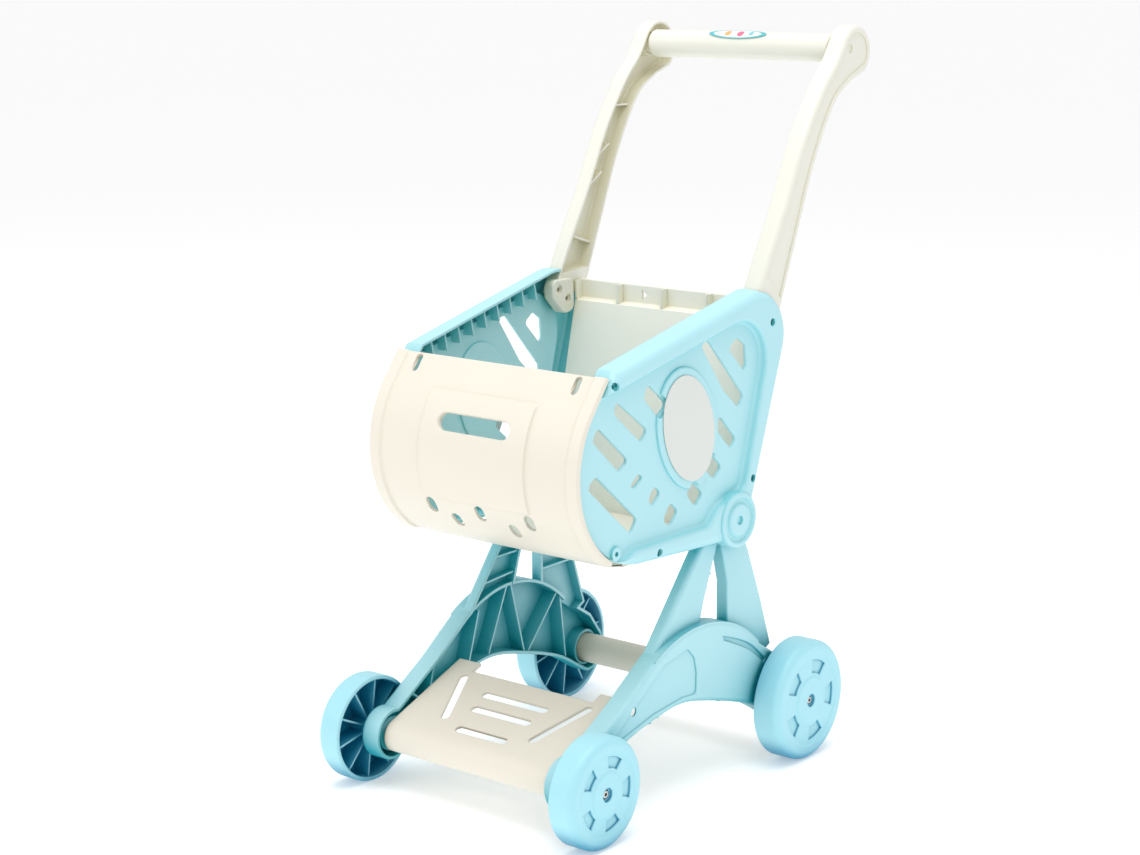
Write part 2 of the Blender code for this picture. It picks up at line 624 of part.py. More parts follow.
def build_handle_label():
    """A thin oval label that follows the top of the bar."""
    name = "handle_label"
    inner = BAR_R + 0.3
    band = (arc(BAR, inner + HANDLE_LABEL_T, 150, 30, 10)
            + arc(BAR, inner, 30, 150, 10))
    half_x, half_y = HANDLE_LABEL_HALF
    label = straight_piece(name, [band], -half_x - 2, half_x + 2, LABEL_TEAL)
    mesh = filled_mesh(name + "_outline", [oval((0, 0), (half_x, half_y), 0)], 40)
    cutter = link(mesh.name, mesh, None)
    cutter.location = (0, (BAR[0] - CENTRE_Y) * MM, (BAR[1] + 12) * MM)
    boolean(label, cutter, "INTERSECT")
    smooth(label)


def build_tray():
    """Lower tray: rolled over the front axle, sloping up to a notched rear edge, with five slots."""
    name = "lower_tray"
    slope = Vector((cos(radians(TRAY_TILT)), sin(radians(TRAY_TILT))))
    up = Vector((-slope.y, slope.x))
    crest = Vector(FRONT_AXLE) + up * TRAY_ROLL_R
    rear = crest + slope * TRAY_LENGTH
    roll = arc(FRONT_AXLE, TRAY_ROLL_R, 90 + TRAY_TILT, 330, 14)
    roll_inner = arc(FRONT_AXLE, TRAY_ROLL_R - WALL, 330, 90 + TRAY_TILT, 14)
    sheet = [tuple(rear)] + roll + roll_inner + [tuple(rear - up * WALL)]
    tray = straight_piece(name, [sheet], -TRAY_HALF, TRAY_HALF, IVORY)

    start, end = rear - slope * TRAY_NOTCH, rear + slope * TRAY_NOTCH
    notch = [tuple(start + up * 5), tuple(end + up * 5), tuple(end - up * 20), tuple(start - up * 20)]
    boolean(tray, straight_piece(name + "_notch", [notch], -TRAY_NOTCH_HALF, TRAY_NOTCH_HALF))
    slots = [(0, 52, 62, 0), (0, 35, 56, 0), (0, 11, 48, 0), (-51, 42, 54, 112), (51, 42, 54, 68)]
    for i, (x, up_slope, length, turn) in enumerate(slots):
        place = crest + slope * up_slope
        cutter = slot_cutter(name + "_slot_%d" % i, (x, place.x, place.y), TRAY_TILT, turn, length, 6, 16)
        boolean(tray, cutter)
    smooth(tray)


def build_wheel(name, side, axle, inner_x, outer_x):
    """Wheel open on its inner side, with ribs; its outer face is closed, with shallow windows."""
    radius = axle[1]
    width = outer_x - inner_x
    tread = radius - 3.2
    web = width - 3.0
    sink = width - 2.4
    profile = [(0, tread), (0, radius - 1.2), (1.2, radius), (width - 6.0, radius),
               (width - 3.0, radius - 0.9), (width - 0.9, tread), (width, radius - 6.5), (width, 5.0),
               (sink, 5.0), (sink, AXLE_BORE_R), (2.0, AXLE_BORE_R), (2.0, 8.5), (web, 8.5), (web, tread)]
    profile = [(x * side, r) for x, r in profile]
    wheel = turned(name, profile, WHEEL_BLUE, WHEEL_STEPS, (side * inner_x, axle[0] - CENTRE_Y, radius))

    ribs = []
    for i in range(SPOKE_RIBS):
        a = radians(360 * i / SPOKE_RIBS + 11)
        spoke = Vector((cos(a), sin(a)))
        ribs.append(rib_between(spoke * 7.0, spoke * (radius - 2.0), 1.6))
    windows = []
    for i in range(WINDOWS):
        a = 360 * i / WINDOWS + 18
        windows.append(arc((0, 0), radius * 0.62, a - 22, a + 22, 3)
                       + arc((0, 0), radius * 0.36, a + 18, a - 18, 2))
    rib_mesh = prism_mesh(name + "_ribs", ribs, 4.0, web + 1.0)
    window_mesh = prism_mesh(name + "_windows", windows, width - 1.2, width + 5)
    for mesh, operation in ((rib_mesh, "UNION"), (window_mesh, "DIFFERENCE")):
        if side < 0:
            mirror_mesh(mesh)
        other = link(mesh.name, mesh, None)
        other.location = wheel.location
        boolean(wheel, other, operation)


def build_axles():
    """Two plain axle rods, and the fat plastic tube around the rear one."""
    for word, axle, reach in (("front", FRONT_AXLE, FRONT_WHEEL_X[1]), ("rear", REAR_AXLE, REAR_WHEEL_X[1])):
        end = reach - 2.1
        rod = [(-end, 1.3), (-end, AXLE_R), (end, AXLE_R), (end, 1.3)]
        turned(word + "_axle", rod, STEEL, 16, (0, axle[0] - CENTRE_Y, axle[1]))
    half = TUBE_HALF
    tube = [(-half, AXLE_BORE_R), (-half, TUBE_R), (half, TUBE_R), (half, AXLE_BORE_R)]
    turned("rear_tube", tube, TUBE_GREY, 20, (0, REAR_AXLE[0] - CENTRE_Y, REAR_AXLE[1]))


def build_screws(side, word):
    plane = SIDES[side]
    for i, (y, z) in enumerate(PANEL_SCREWS):
        screw("panel_screw_%s_%d" % (word, i + 1), side, (side * (PANEL_OUT - 3.1), y, z), plane)
    screw("hub_screw_" + word, side, (side * (PANEL_OUT + 0.3), *HUB), plane, shank=(1.3, 16.0))
    screw("tray_screw_" + word, side, (side * (BODY_OUT - 2.5), *TRAY_SCREW), plane)
    screw("handle_screw_" + word, side, (side * (ARM_X[1] - 1.9), *BAR), head=(2.7, 1.2))
    for i, (y, z) in enumerate(FOOT_SCREWS):
        place = (side * (ARM_FOOT_X[0] + 1.2), y, z)
        screw("foot_screw_%s_%d" % (word, i + 1), -side, place, head=(2.7, 1.0), shank=(1.3, 5.0))
    for end, axle, wheel_x in (("front", FRONT_AXLE, FRONT_WHEEL_X), ("rear", REAR_AXLE, REAR_WHEEL_X)):
        place = (side * (wheel_x[1] - 1.8), *axle)
        screw("%s_wheel_screw_%s" % (end, word), side, place, head=(4.3, 1.4), shank=(1.0, 6.0))


def build_side_label(side, word):
    label_low = WEB_OUT + PLAQUE_RISE + 0.2
    outline = oval(PLAQUE_C, LABEL_HALF, PLAQUE_TILT)
    side_piece("side_label_" + word, side, [outline], label_low, label_low + 0.6, LABEL_GREY)


# ---- the trolley ----
clear_scene()
PARTS = make_collection("toy_shopping_trolley")
CUTTERS = make_collection("cutters")
SIDES = {}
for sign, side_word in ((-1, "left"), (1, "right")):
    empty = bpy.data.objects.new("side_" + side_word, None)
    empty.location = (sign * SIDE_INNER_X * MM, -CENTRE_Y * MM, 0)
    empty.rotation_euler = (0, 0, -sign * atan(SIDE_SPLAY))
    PARTS.objects.link(empty)
    SIDES[sign] = empty

for sign, side_word in ((-1, "left"), (1, "right")):
    build_side_panel(sign, side_word)
    build_leg_frame(sign, side_word)
    build_arm(sign, side_word)
    build_wheel("front_wheel_" + side_word, sign, FRONT_AXLE, *FRONT_WHEEL_X)
    build_wheel("rear_wheel_" + side_word, sign, REAR_AXLE, *REAR_WHEEL_X)
    build_screws(sign, side_word)
    build_side_label(sign, side_word)
build_front_panel()
build_back_panel()
build_crossbar()
build_handle_label()
build_tray()
build_axles()
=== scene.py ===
"""Looks of the toy shopping trolley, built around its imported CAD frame.

Dimensions repeat the CAD source's, in millimetres; MM turns them into metres. The trolley faces -Y.
Pieces of a side are drawn as (depth, along, up) on the side's splayed plane; the left side mirrors the right.
"""
import json
from math import atan, cos, hypot, pi, radians, sin, sqrt, tan

import bmesh
import bpy
from mathutils import Matrix, Vector


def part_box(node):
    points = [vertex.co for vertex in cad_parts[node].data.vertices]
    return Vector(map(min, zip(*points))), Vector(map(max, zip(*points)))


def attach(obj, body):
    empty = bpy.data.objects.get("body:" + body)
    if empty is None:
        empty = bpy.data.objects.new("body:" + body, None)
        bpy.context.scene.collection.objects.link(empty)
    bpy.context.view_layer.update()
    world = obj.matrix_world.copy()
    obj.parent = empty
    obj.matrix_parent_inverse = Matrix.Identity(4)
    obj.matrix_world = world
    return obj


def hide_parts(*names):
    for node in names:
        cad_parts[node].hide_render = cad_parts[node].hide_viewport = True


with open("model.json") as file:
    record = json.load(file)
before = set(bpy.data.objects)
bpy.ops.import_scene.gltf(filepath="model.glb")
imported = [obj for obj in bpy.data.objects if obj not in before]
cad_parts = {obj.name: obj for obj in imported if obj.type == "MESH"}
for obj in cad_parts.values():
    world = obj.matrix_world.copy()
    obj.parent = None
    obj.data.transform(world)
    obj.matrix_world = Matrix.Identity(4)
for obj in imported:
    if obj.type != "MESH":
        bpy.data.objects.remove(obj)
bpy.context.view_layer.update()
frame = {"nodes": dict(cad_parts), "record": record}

MM = 0.001
ROOT = "trolley"
CLEAR = 60.0  # how far a cutter runs past the surface
WALL = 2.5
RIB = 1.6
FIT = 0.5  # room round a piece that sits in another
MERGE_DISTANCE = 0.004 * MM

# ---- the CAD's dimensions, mm ----
CENTRE_Y = 35.5
SIDE_INNER_X = 84.0
SIDE_SPLAY = 0.031
FRONT_AXLE = (-122.0, 40.6)
REAR_AXLE = (122.0, 46.9)
BASKET_C = (-49.0, 258.5)
BASKET_R = 71.5
BASKET_TOP_ANGLE = 37.0
SIDE_LIP = 36.0
PANEL_OUT = 19.5
WEB_OUT = 13.0
PANEL_CORNERS = [(-84.4, 330.6, 0), (134.0, 381.6, 36), (68.7, 183.0, 12), (-49.0, 187.0, 0)]
WEB_CORNERS = [(-135, 304.8, 0), (101.7, 358.6, 32), (66, 222, 14), (34, 213, 8), (22, 201, 10),
               (-62, 200, 10), (-85, 190, 0), (-135, 190, 0)]
WEB_SLOTS = [
    [(60.5, 335), (70.5, 328.5), (72, 313), (68.5, 310.5), (50.5, 328)],
    [(17, 335.5), (26, 336.5), (69, 291), (64, 282), (44, 299)],
    [(39.5, 280.5), (60, 260), (55, 252.5), (37.5, 269.5)],
    [(18.5, 263), (43, 241.5), (34.5, 233.5), (11.5, 251.5)],
    [(6, 237.5), (20.5, 225.5), (12, 217), (2.5, 227)],
    [(-45, 315.5), (-21, 297.5), (-32, 289.5), (-48, 305.5)],
    [(-79, 308), (-44.5, 282.5), (-52, 275.5), (-81, 299.5)],
    [(-99, 292.5), (-65.5, 264), (-76.5, 258.5), (-104.5, 284)],
    [(-101, 258.5), (-56, 220.5), (-62.5, 211), (-109.5, 251.5)],
    [(-54, 252.5), (-49.5, 249.5), (-58.5, 243.5), (-63, 245.5)],
    [(-36, 240.5), (-29, 234.5), (-38, 226.5), (-42.5, 231)],
    [(-17.5, 225), (-9, 217.5), (-17, 208), (-25.5, 213)],
]
PANEL_SCREWS = [(96, 343), (74.5, 228), (-37, 193), (-80.5, 200), (-86.5, 320)]
COMB_COUNT, COMB_FIRST, COMB_PITCH, COMB_DEPTH = 9, -72.0, 15.5, 16.0
PLAQUE_C, PLAQUE_HALF, PLAQUE_TILT, PLAQUE_RISE = (0.5, 277.0), (47.0, 34.0), 70.0, 2.0
LABEL_HALF = (41.0, 28.5)
HUB, HUB_R, HUB_RISE = (56.0, 199.5), 21.0, 2.0
LEG_OUT, BODY_OUT, BOSS_R = 10.0, 17.0, 19.5
ARCH_C, ARCH_R = (18.0, 22.5), 104.0
LEG_LUG_R = 16.5
LEG_CORNERS = [(84.5, 170), (102, 127), (116, 88), (100, 80), (-30, 90), (-37.5, 106.5), (19.5, 178)]
LEG_GAP = [(21, 118, 0), (28.5, 142.5, 0), (46, 188, 3), (56.5, 150, 0), (57, 110, 0)]
UNDERSIDE = [(108, 33.5), (77.5, 50), (28, 65), (-6, 71), (-39, 66.5), (-70, 58.5), (-100, 44)]
ARCH_RIBS = [((-20, 112), (-34, 68)), ((14.5, 124), (-9, 72)), ((20, 124), (37, 64)),
             ((79, 104), (40, 62)), ((84, 100), (91.5, 47))]
FRONT_FIELD = [(-28, 106, 6), (0, 112, 3), (8, 104, 8), (11, 92, 8), (10.5, 75.5, 3), (-6, 76.5, 8),
               (-39, 72.5, 14), (-72, 64, 4), (-96, 54, 3), (-84, 66, 3)]
TRAY_SCREW = (-62.0, 80.0)
SCREW_HOLE_R, SCREW_SHANK_R, SCREW_HEAD_RISE = 1.8, 1.2, 1.3
TUBE_R, TUBE_HALF, AXLE_BORE_R = 12.0, 101.4, 3.6
ARM_X = (86.8, 101.2)
ARM_FRONT = [(75, 348), (90.5, 379.5), (118.5, 430), (141.5, 476), (166, 512), (184, 531), (197, 550)]
ARM_REAR = [(208, 515), (183.5, 498), (157.5, 454.5), (135.5, 402), (117.5, 357), (114, 348)]
ARM_FOOT = [(70, 346, 5), (70, 360, 6), (96, 360, 6), (97, 334, 6), (84, 332, 8)]
ARM_FOOT_X = (83.6, 92.4)
FOOT_SCREWS = [(78.5, 352.0), (89.0, 344.0)]
BULB, BULB_R = (213.0, 537.0), 20.6
BAR, BAR_R, BAR_NECK_R, BAR_HALF = (204.6, 540.0), 11.0, 8.0, 84.2
FRONT_R, FRONT_LIP, FRONT_HALF, FRONT_INSIDE_HALF = 76.0, 28.0, 97.2, 81.0
FRONT_RIM_LOW = -62.0
TRAY_TILT, TRAY_HALF, TRAY_ROLL_R, TRAY_LENGTH = 21.0, 79.3, 12.5, 83.0


# ---- outlines: (along, up), mm ----
def arc(centre, radius, start, end, steps):
    points = []
    for i in range(steps + 1):
        a = radians(start + (end - start) * i / steps)
        points.append((centre[0] + radius * cos(a), centre[1] + radius * sin(a)))
    return points


def circle(centre, radius, steps=48):
    return arc(centre, radius, 0, 360, steps)[:-1]


def oval(centre, half, tilt, steps=72):
    turn = Matrix.Rotation(-radians(tilt), 2)
    points = []
    for i in range(steps):
        a = 2 * pi * i / steps
        spoke = Vector((half[0] * cos(a), half[1] * sin(a)))
        spoke.rotate(turn)
        points.append(tuple(Vector(centre) + spoke))
    return points


def rounded(corners, steps=6):
    """A closed outline whose corners (along, up, radius) are replaced by arcs."""
    points = []
    for i, (y, z, radius) in enumerate(corners):
        here = Vector((y, z))
        if radius <= 0:
            points.append((y, z))
            continue
        before = (Vector(corners[i - 1][:2]) - here).normalized()
        after = (Vector(corners[(i + 1) % len(corners)][:2]) - here).normalized()
        half = before.angle(after) / 2
        centre = here + (before + after).normalized() * radius / sin(half)
        first = here + before * radius * cos(half) / sin(half) - centre
        turn = first.angle_signed(here + after * radius * cos(half) / sin(half) - centre)
        for k in range(steps + 1):
            spoke = first.copy()
            spoke.rotate(Matrix.Rotation(-turn * k / steps, 2))
            points.append(tuple(centre + spoke))
    return points


def curve_through(points, steps=8):
    """Catmull-Rom curve through the points."""
    ends = [points[0]] + list(points) + [points[-1]]
    out = []
    for i in range(1, len(ends) - 2):
        p0, p1, p2, p3 = (Vector(p) for p in ends[i - 1:i + 3])
        for k in range(steps):
            t = k / steps
            linear = (p2 - p0) * t
            square = (2 * p0 - 5 * p1 + 4 * p2 - p3) * t * t
            cubic = (3 * p1 - p0 - 3 * p2 + p3) * t ** 3
            out.append(tuple((2 * p1 + linear + square + cubic) / 2))
    out.append(tuple(points[-1]))
    return out


def inset(outline, distance):
    """The closed outline moved inwards (outwards if negative) by the distance."""
    if distance == 0:
        return [tuple(p) for p in outline]
    count = len(outline)
    area = 0.0
    for i, (y, z) in enumerate(outline):
        next_y, next_z = outline[(i + 1) % count]
        area += y * next_z - next_y * z
    sign = 1 if area > 0 else -1
    moved = []
    for i, point in enumerate(outline):
        here = Vector(point)
        before = (here - Vector(outline[i - 1])).normalized()
        after = (Vector(outline[(i + 1) % count]) - here).normalized()
        normal_in = Vector((-before.y, before.x)) * sign
        normal_out = Vector((-after.y, after.x)) * sign
        bisector = (normal_in + normal_out).normalized()
        moved.append(tuple(here + bisector * distance / max(bisector.dot(normal_out), 0.5)))
    return moved


def box_outline(y0, y1, z0, z1):
    return [(y0, z0), (y1, z0), (y1, z1), (y0, z1)]


def capsule(length, width, steps=10):
    half = (length - width) / 2
    return arc((half, 0), width / 2, -90, 90, steps) + arc((-half, 0), width / 2, 90, 270, steps)


def rib_between(start, end, width=RIB):
    along = (Vector(end) - Vector(start)).normalized()
    across = Vector((-along.y, along.x)) * width / 2
    return [tuple(Vector(p) + s * across) for p, s in ((start, 1), (start, -1), (end, -1), (end, 1))]


# ---- solids: (verts, faces) with verts as (depth, along, up) ----
def loft(outline, levels):
    """A closed solid through the outline, inset by its own distance at each depth."""
    verts, faces = [], []
    count = len(outline)
    for depth, distance in levels:
        verts += [(depth, y, z) for y, z in inset(outline, distance)]
    for level in range(len(levels) - 1):
        low, high = level * count, (level + 1) * count
        for i in range(count):
            j = (i + 1) % count
            faces.append((low + i, low + j, high + j, high + i))
    faces.append(tuple(range(count)))
    faces.append(tuple((len(levels) - 1) * count + i for i in range(count)))
    return verts, faces


def prism(outline, low, high):
    return loft(outline, [(low, 0), (high, 0)])


def rounded_top(outline, low, high, radius, steps=6, foot=0.0):
    """A prism whose edges at high are rounded, and whose edges at low are eased by foot."""
    levels = [(low, foot), (low + foot, 0)] if foot else [(low, 0)]
    for i in range(steps + 1):
        a = pi / 2 * i / steps
        levels.append((high - radius + radius * sin(a), radius * (1 - cos(a))))
    return loft(outline, levels)


def flared(outline, low, surface, flare=0.7):
    """A cutter that widens at the surface, which leaves a rounded edge."""
    levels = [(low, 0), (surface - flare, 0)]
    for i in range(1, 4):
        a = pi / 2 * i / 3
        levels.append((surface - flare + flare * sin(a), -flare * (1 - cos(a))))
    levels.append((surface + CLEAR, -flare))
    return loft(outline, levels)


def merged(solids):
    verts, faces = [], []
    for more_verts, more_faces in solids:
        base = len(verts)
        verts += more_verts
        faces += [tuple(base + i for i in face) for face in more_faces]
    return verts, faces


def turn_profile(profile, steps):
    """A closed profile of (x, radius) turned about the X axis."""
    verts, faces = [], []
    count = len(profile)
    for k in range(steps):
        a = 2 * pi * k / steps
        verts += [(x, r * cos(a), r * sin(a)) for x, r in profile]
    for k in range(steps):
        here, there = k * count, (k + 1) % steps * count
        for i in range(count):
            j = (i + 1) % count
            faces.append((here + i, here + j, there + j, there + i))
    return verts, faces


def mesh_of(name, solid):
    verts, faces = solid
    mesh = bpy.data.meshes.new(name)
    mesh.from_pydata([Vector(v) * MM for v in verts], [], faces)
    bm = bmesh.new()
    bm.from_mesh(mesh)
    bmesh.ops.remove_doubles(bm, verts=bm.verts, dist=MERGE_DISTANCE)
    bmesh.ops.recalc_face_normals(bm, faces=bm.faces)
    if bm.calc_volume(signed=True) < 0:
        bmesh.ops.reverse_faces(bm, faces=bm.faces)
    bm.to_mesh(mesh)
    bm.free()
    return mesh


def linked(name, data):
    obj = bpy.data.objects.new(name, data)
    bpy.context.scene.collection.objects.link(obj)
    return obj


def combine(obj, steps):
    """Cut or join the object with each step's tool, ("DIFFERENCE" or "UNION", object), and remove the tools."""
    for operation, tool in steps:
        mod = obj.modifiers.new(operation.lower(), "BOOLEAN")
        mod.operation = operation
        mod.solver = "EXACT"
        mod.object = tool
    bpy.context.view_layer.update()
    result = bpy.data.meshes.new_from_object(obj.evaluated_get(bpy.context.evaluated_depsgraph_get()))
    for _, tool in steps:
        bpy.data.objects.remove(tool)
    obj.modifiers.clear()
    obj.data = result
    return obj


def carve(name, solid, steps):
    """The solid with the steps applied in order; a step's tool is a solid or an object."""
    obj = linked(name, mesh_of(name, solid))
    tools = []
    for operation, tool in steps:
        if not isinstance(tool, bpy.types.Object):
            tool = linked(name + "_tool", mesh_of(name + "_tool", tool))
        tools.append((operation, tool))
    return combine(obj, tools)


def on_side(obj):
    """Bring a piece drawn on the right side's plane into the trolley's frame."""
    obj.data.transform(Matrix.Rotation(-atan(SIDE_SPLAY), 4, "Z"))
    obj.data.transform(Matrix.Translation((SIDE_INNER_X * MM, -CENTRE_Y * MM, 0)))
    return obj


def straight(obj):
    obj.data.transform(Matrix.Translation((0, -CENTRE_Y * MM, 0)))
    return obj


def mirrored(obj, name):
    mesh = obj.data.copy()
    mesh.transform(Matrix.Scale(-1, 4, (1, 0, 0)))
    mesh.flip_normals()
    return linked(name, mesh)


def finish_piece(obj, body, material, nodes, angle=38.0):
    """Shade, weight the normals, colour, tie the piece to its body, and hide the CAD nodes it stands for."""
    obj.data.materials.clear()
    obj.data.materials.append(material)
    obj.data.shade_smooth()
    obj.data.set_sharp_from_angle(angle=radians(angle))
    weighted = obj.modifiers.new("weighted_normals", "WEIGHTED_NORMAL")
    weighted.keep_sharp = True
    weighted.weight = 60
    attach(obj, body)
    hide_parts(*nodes)
    return obj


def finish_pair(obj, stem, body_stem, material, node_stems):
    """The piece for the right side, and its mirror image for the left."""
    left = mirrored(obj, stem + "_left_visual")
    for word, piece in (("right", obj), ("left", left)):
        body = ROOT if body_stem is None else "%s_%s" % (body_stem, word)
        finish_piece(piece, body, material, [n % word for n in node_stems])


# ---- materials ----
def moulded(name, colour, shade_colour, roughness=0.36, grain=0.06, shade_distance=0.03):
    """Satin injection-moulded plastic: faint mottling, fine grain, and painted shade that darkens the colour in
    hollows and between parts.
    """
    mat = bpy.data.materials.new(name)
    mat.use_nodes = True
    nodes, links = mat.node_tree.nodes, mat.node_tree.links
    shader = nodes["Principled BSDF"]
    coords = nodes.new("ShaderNodeTexCoord")

    cloud = nodes.new("ShaderNodeTexNoise")
    cloud.inputs["Scale"].default_value = 14.0
    cloud.inputs["Detail"].default_value = 3.0
    links.new(coords.outputs["Object"], cloud.inputs["Vector"])
    tint = nodes.new("ShaderNodeMapRange")
    tint.inputs["To Min"].default_value = 0.965
    tint.inputs["To Max"].default_value = 1.025
    links.new(cloud.outputs["Fac"], tint.inputs["Value"])

    # Painted shade: ambient occlusion mixes the colour towards the darker shade colour in hollows, corners and
    # between parts.
    hollow = nodes.new("ShaderNodeAmbientOcclusion")
    hollow.samples = 6
    hollow.inputs["Distance"].default_value = shade_distance
    ramp = nodes.new("ShaderNodeMapRange")
    ramp.inputs["From Min"].default_value = 0.3
    ramp.inputs["From Max"].default_value = 0.9
    links.new(hollow.outputs["AO"], ramp.inputs["Value"])
    blend = nodes.new("ShaderNodeMix")
    blend.data_type = "RGBA"
    blend.inputs["A"].default_value = (*shade_colour, 1.0)
    blend.inputs["B"].default_value = (*colour, 1.0)
    links.new(ramp.outputs["Result"], blend.inputs["Factor"])
    shade = nodes.new("ShaderNodeMix")
    shade.data_type = "RGBA"
    shade.blend_type = "MULTIPLY"
    shade.inputs["Factor"].default_value = 1.0
    links.new(blend.outputs["Result"], shade.inputs["A"])
    links.new(tint.outputs["Result"], shade.inputs["B"])
    links.new(shade.outputs["Result"], shader.inputs["Base Color"])

    smear = nodes.new("ShaderNodeTexNoise")
    smear.inputs["Scale"].default_value = 55.0
    smear.inputs["Detail"].default_value = 4.0
    links.new(coords.outputs["Object"], smear.inputs["Vector"])
    rough = nodes.new("ShaderNodeMapRange")
    rough.inputs["To Min"].default_value = roughness - 0.06
    rough.inputs["To Max"].default_value = roughness + 0.08
    links.new(smear.outputs["Fac"], rough.inputs["Value"])
    links.new(rough.outputs["Result"], shader.inputs["Roughness"])

    soft = nodes.new("ShaderNodeBevel")
    soft.samples = 4
    soft.inputs["Radius"].default_value = 0.0007
    fine = nodes.new("ShaderNodeTexNoise")
    fine.inputs["Scale"].default_value = 1500.0
    fine.inputs["Detail"].default_value = 2.0
    links.new(coords.outputs["Object"], fine.inputs["Vector"])
    bump = nodes.new("ShaderNodeBump")
    bump.inputs["Strength"].default_value = grain
    bump.inputs["Distance"].default_value = 0.0002
    links.new(fine.outputs["Fac"], bump.inputs["Height"])
    links.new(soft.outputs["Normal"], bump.inputs["Normal"])
    links.new(bump.outputs["Normal"], shader.inputs["Normal"])
    shader.inputs["IOR"].default_value = 1.49
    return mat


def brushed_metal(name, colour, roughness=0.3):
    mat = bpy.data.materials.new(name)
    mat.use_nodes = True
    nodes, links = mat.node_tree.nodes, mat.node_tree.links
    shader = nodes["Principled BSDF"]
    shader.inputs["Metallic"].default_value = 1.0
    coords = nodes.new("ShaderNodeTexCoord")
    stretch = nodes.new("ShaderNodeMapping")
    stretch.inputs["Scale"].default_value = (30.0, 900.0, 900.0)
    links.new(coords.outputs["Object"], stretch.inputs["Vector"])
    lines = nodes.new("ShaderNodeTexNoise")
    lines.inputs["Scale"].default_value = 1.0
    lines.inputs["Detail"].default_value = 3.0
    links.new(stretch.outputs["Vector"], lines.inputs["Vector"])
    rough = nodes.new("ShaderNodeMapRange")
    rough.inputs["To Min"].default_value = roughness - 0.08
    rough.inputs["To Max"].default_value = roughness + 0.12
    links.new(lines.outputs["Fac"], rough.inputs["Value"])
    links.new(rough.outputs["Result"], shader.inputs["Roughness"])
    ramp = nodes.new("ShaderNodeMix")
    ramp.data_type = "RGBA"
    ramp.inputs["A"].default_value = (*[c * 0.82 for c in colour], 1.0)
    ramp.inputs["B"].default_value = (*colour, 1.0)
    links.new(lines.outputs["Fac"], ramp.inputs["Factor"])
    links.new(ramp.outputs["Result"], shader.inputs["Base Color"])
    return mat


# The second colour of each moulded material is painted shade, which the surface takes on in hollows and between
# parts.
PANEL_BLUE = moulded("panel_blue_look", (0.45, 0.77, 0.84), (0.14, 0.64, 0.69))
FRAME_BLUE = moulded("frame_blue_look", (0.45, 0.77, 0.84), (0.008, 0.38, 0.45), shade_distance=0.12)
WHEEL_BLUE = moulded("wheel_blue_look", (0.40, 0.77, 0.87), (0.006, 0.27, 0.44))
IVORY = moulded("ivory_look", (0.81, 0.765, 0.665), (0.60, 0.52, 0.38))
HANDLE_IVORY = moulded("handle_ivory_look", (0.80, 0.795, 0.715), (0.76, 0.73, 0.55), roughness=0.33)
BACK_IVORY = moulded("back_ivory_look", (0.90, 0.90, 0.82), (0.80, 0.77, 0.60), roughness=0.4)
TUBE_IVORY = moulded("tube_ivory_look", (0.66, 0.64, 0.55), (0.35, 0.33, 0.24), roughness=0.42)
STEEL = brushed_metal("steel_look", (0.62, 0.62, 0.60))
LABEL_GREY = moulded("label_grey_look", (0.71, 0.745, 0.72), (0.5, 0.52, 0.5),
                     roughness=0.5, grain=0.03)


# ---- shared outlines ----
def panel_outline():
    front = arc(BASKET_C, BASKET_R, 270, 180 - BASKET_TOP_ANGLE, 60)
    y, z = front[-1]
    a = radians(BASKET_TOP_ANGLE)
    front.append((y + SIDE_LIP * sin(a), z + SIDE_LIP * cos(a)))
    return front + rounded(PANEL_CORNERS, 14)[1:-1]


def arm_outline():
    return curve_through(ARM_FRONT) + arc(BULB, BULB_R, 118, -50, 36) + curve_through(ARM_REAR)


def legs_outline():
    return arc(HUB, LEG_LUG_R, 150, -20, 24) + LEG_CORNERS


def body_outline():
    arch = arc(ARCH_C, ARCH_R, 124, 44, 48)
    rear = arc(REAR_AXLE, BOSS_R, 40, -100, 28)
    front = arc(FRONT_AXLE, BOSS_R, -20, -285, 44)
    return [(-72.4, 86.0)] + arch + [(124.0, 76.0)] + rear + curve_through(UNDERSIDE, 6) + front


def sunk_hole(centre, radius, sink_r, floor, surface):
    """A screw hole with a wider, flared sink."""
    step = sink_r - radius
    levels = [(-CLEAR, step), (floor, step), (floor, 0), (surface - 0.6, 0), (surface - 0.3, -0.08),
              (surface - 0.08, -0.3), (surface, -0.6), (surface + CLEAR, -0.6)]
    return loft(circle(centre, sink_r, 28), levels)


def flipped(solid):
    return [(-x, y, z) for x, y, z in solid[0]], solid[1]


# ---- basket sides ----
def comb_ribs():
    first, second = PANEL_CORNERS[0], PANEL_CORNERS[1]
    slope = (second[1] - first[1]) / (second[0] - first[0])
    ribs = []
    for i in range(COMB_COUNT):
        y = COMB_FIRST + COMB_PITCH * i
        top = first[1] + slope * (y - first[0])
        rib = rib_between((y + 0.3, top - 1.4), (y + 3.6, top - COMB_DEPTH))
        ribs.append(prism(rib, 2.5, WEB_OUT - 1.0))
    return merged(ribs)


def softened(slot):
    """The slot's corners, each with the largest radius up to 3 mm that its edges have room for."""
    corners = []
    for i, point in enumerate(slot):
        before = Vector(slot[i - 1]) - Vector(point)
        after = Vector(slot[(i + 1) % len(slot)]) - Vector(point)
        room = 0.42 * min(before.length, after.length)
        corners.append((*point, min(3.0, room * tan(before.angle(after) / 2))))
    return corners


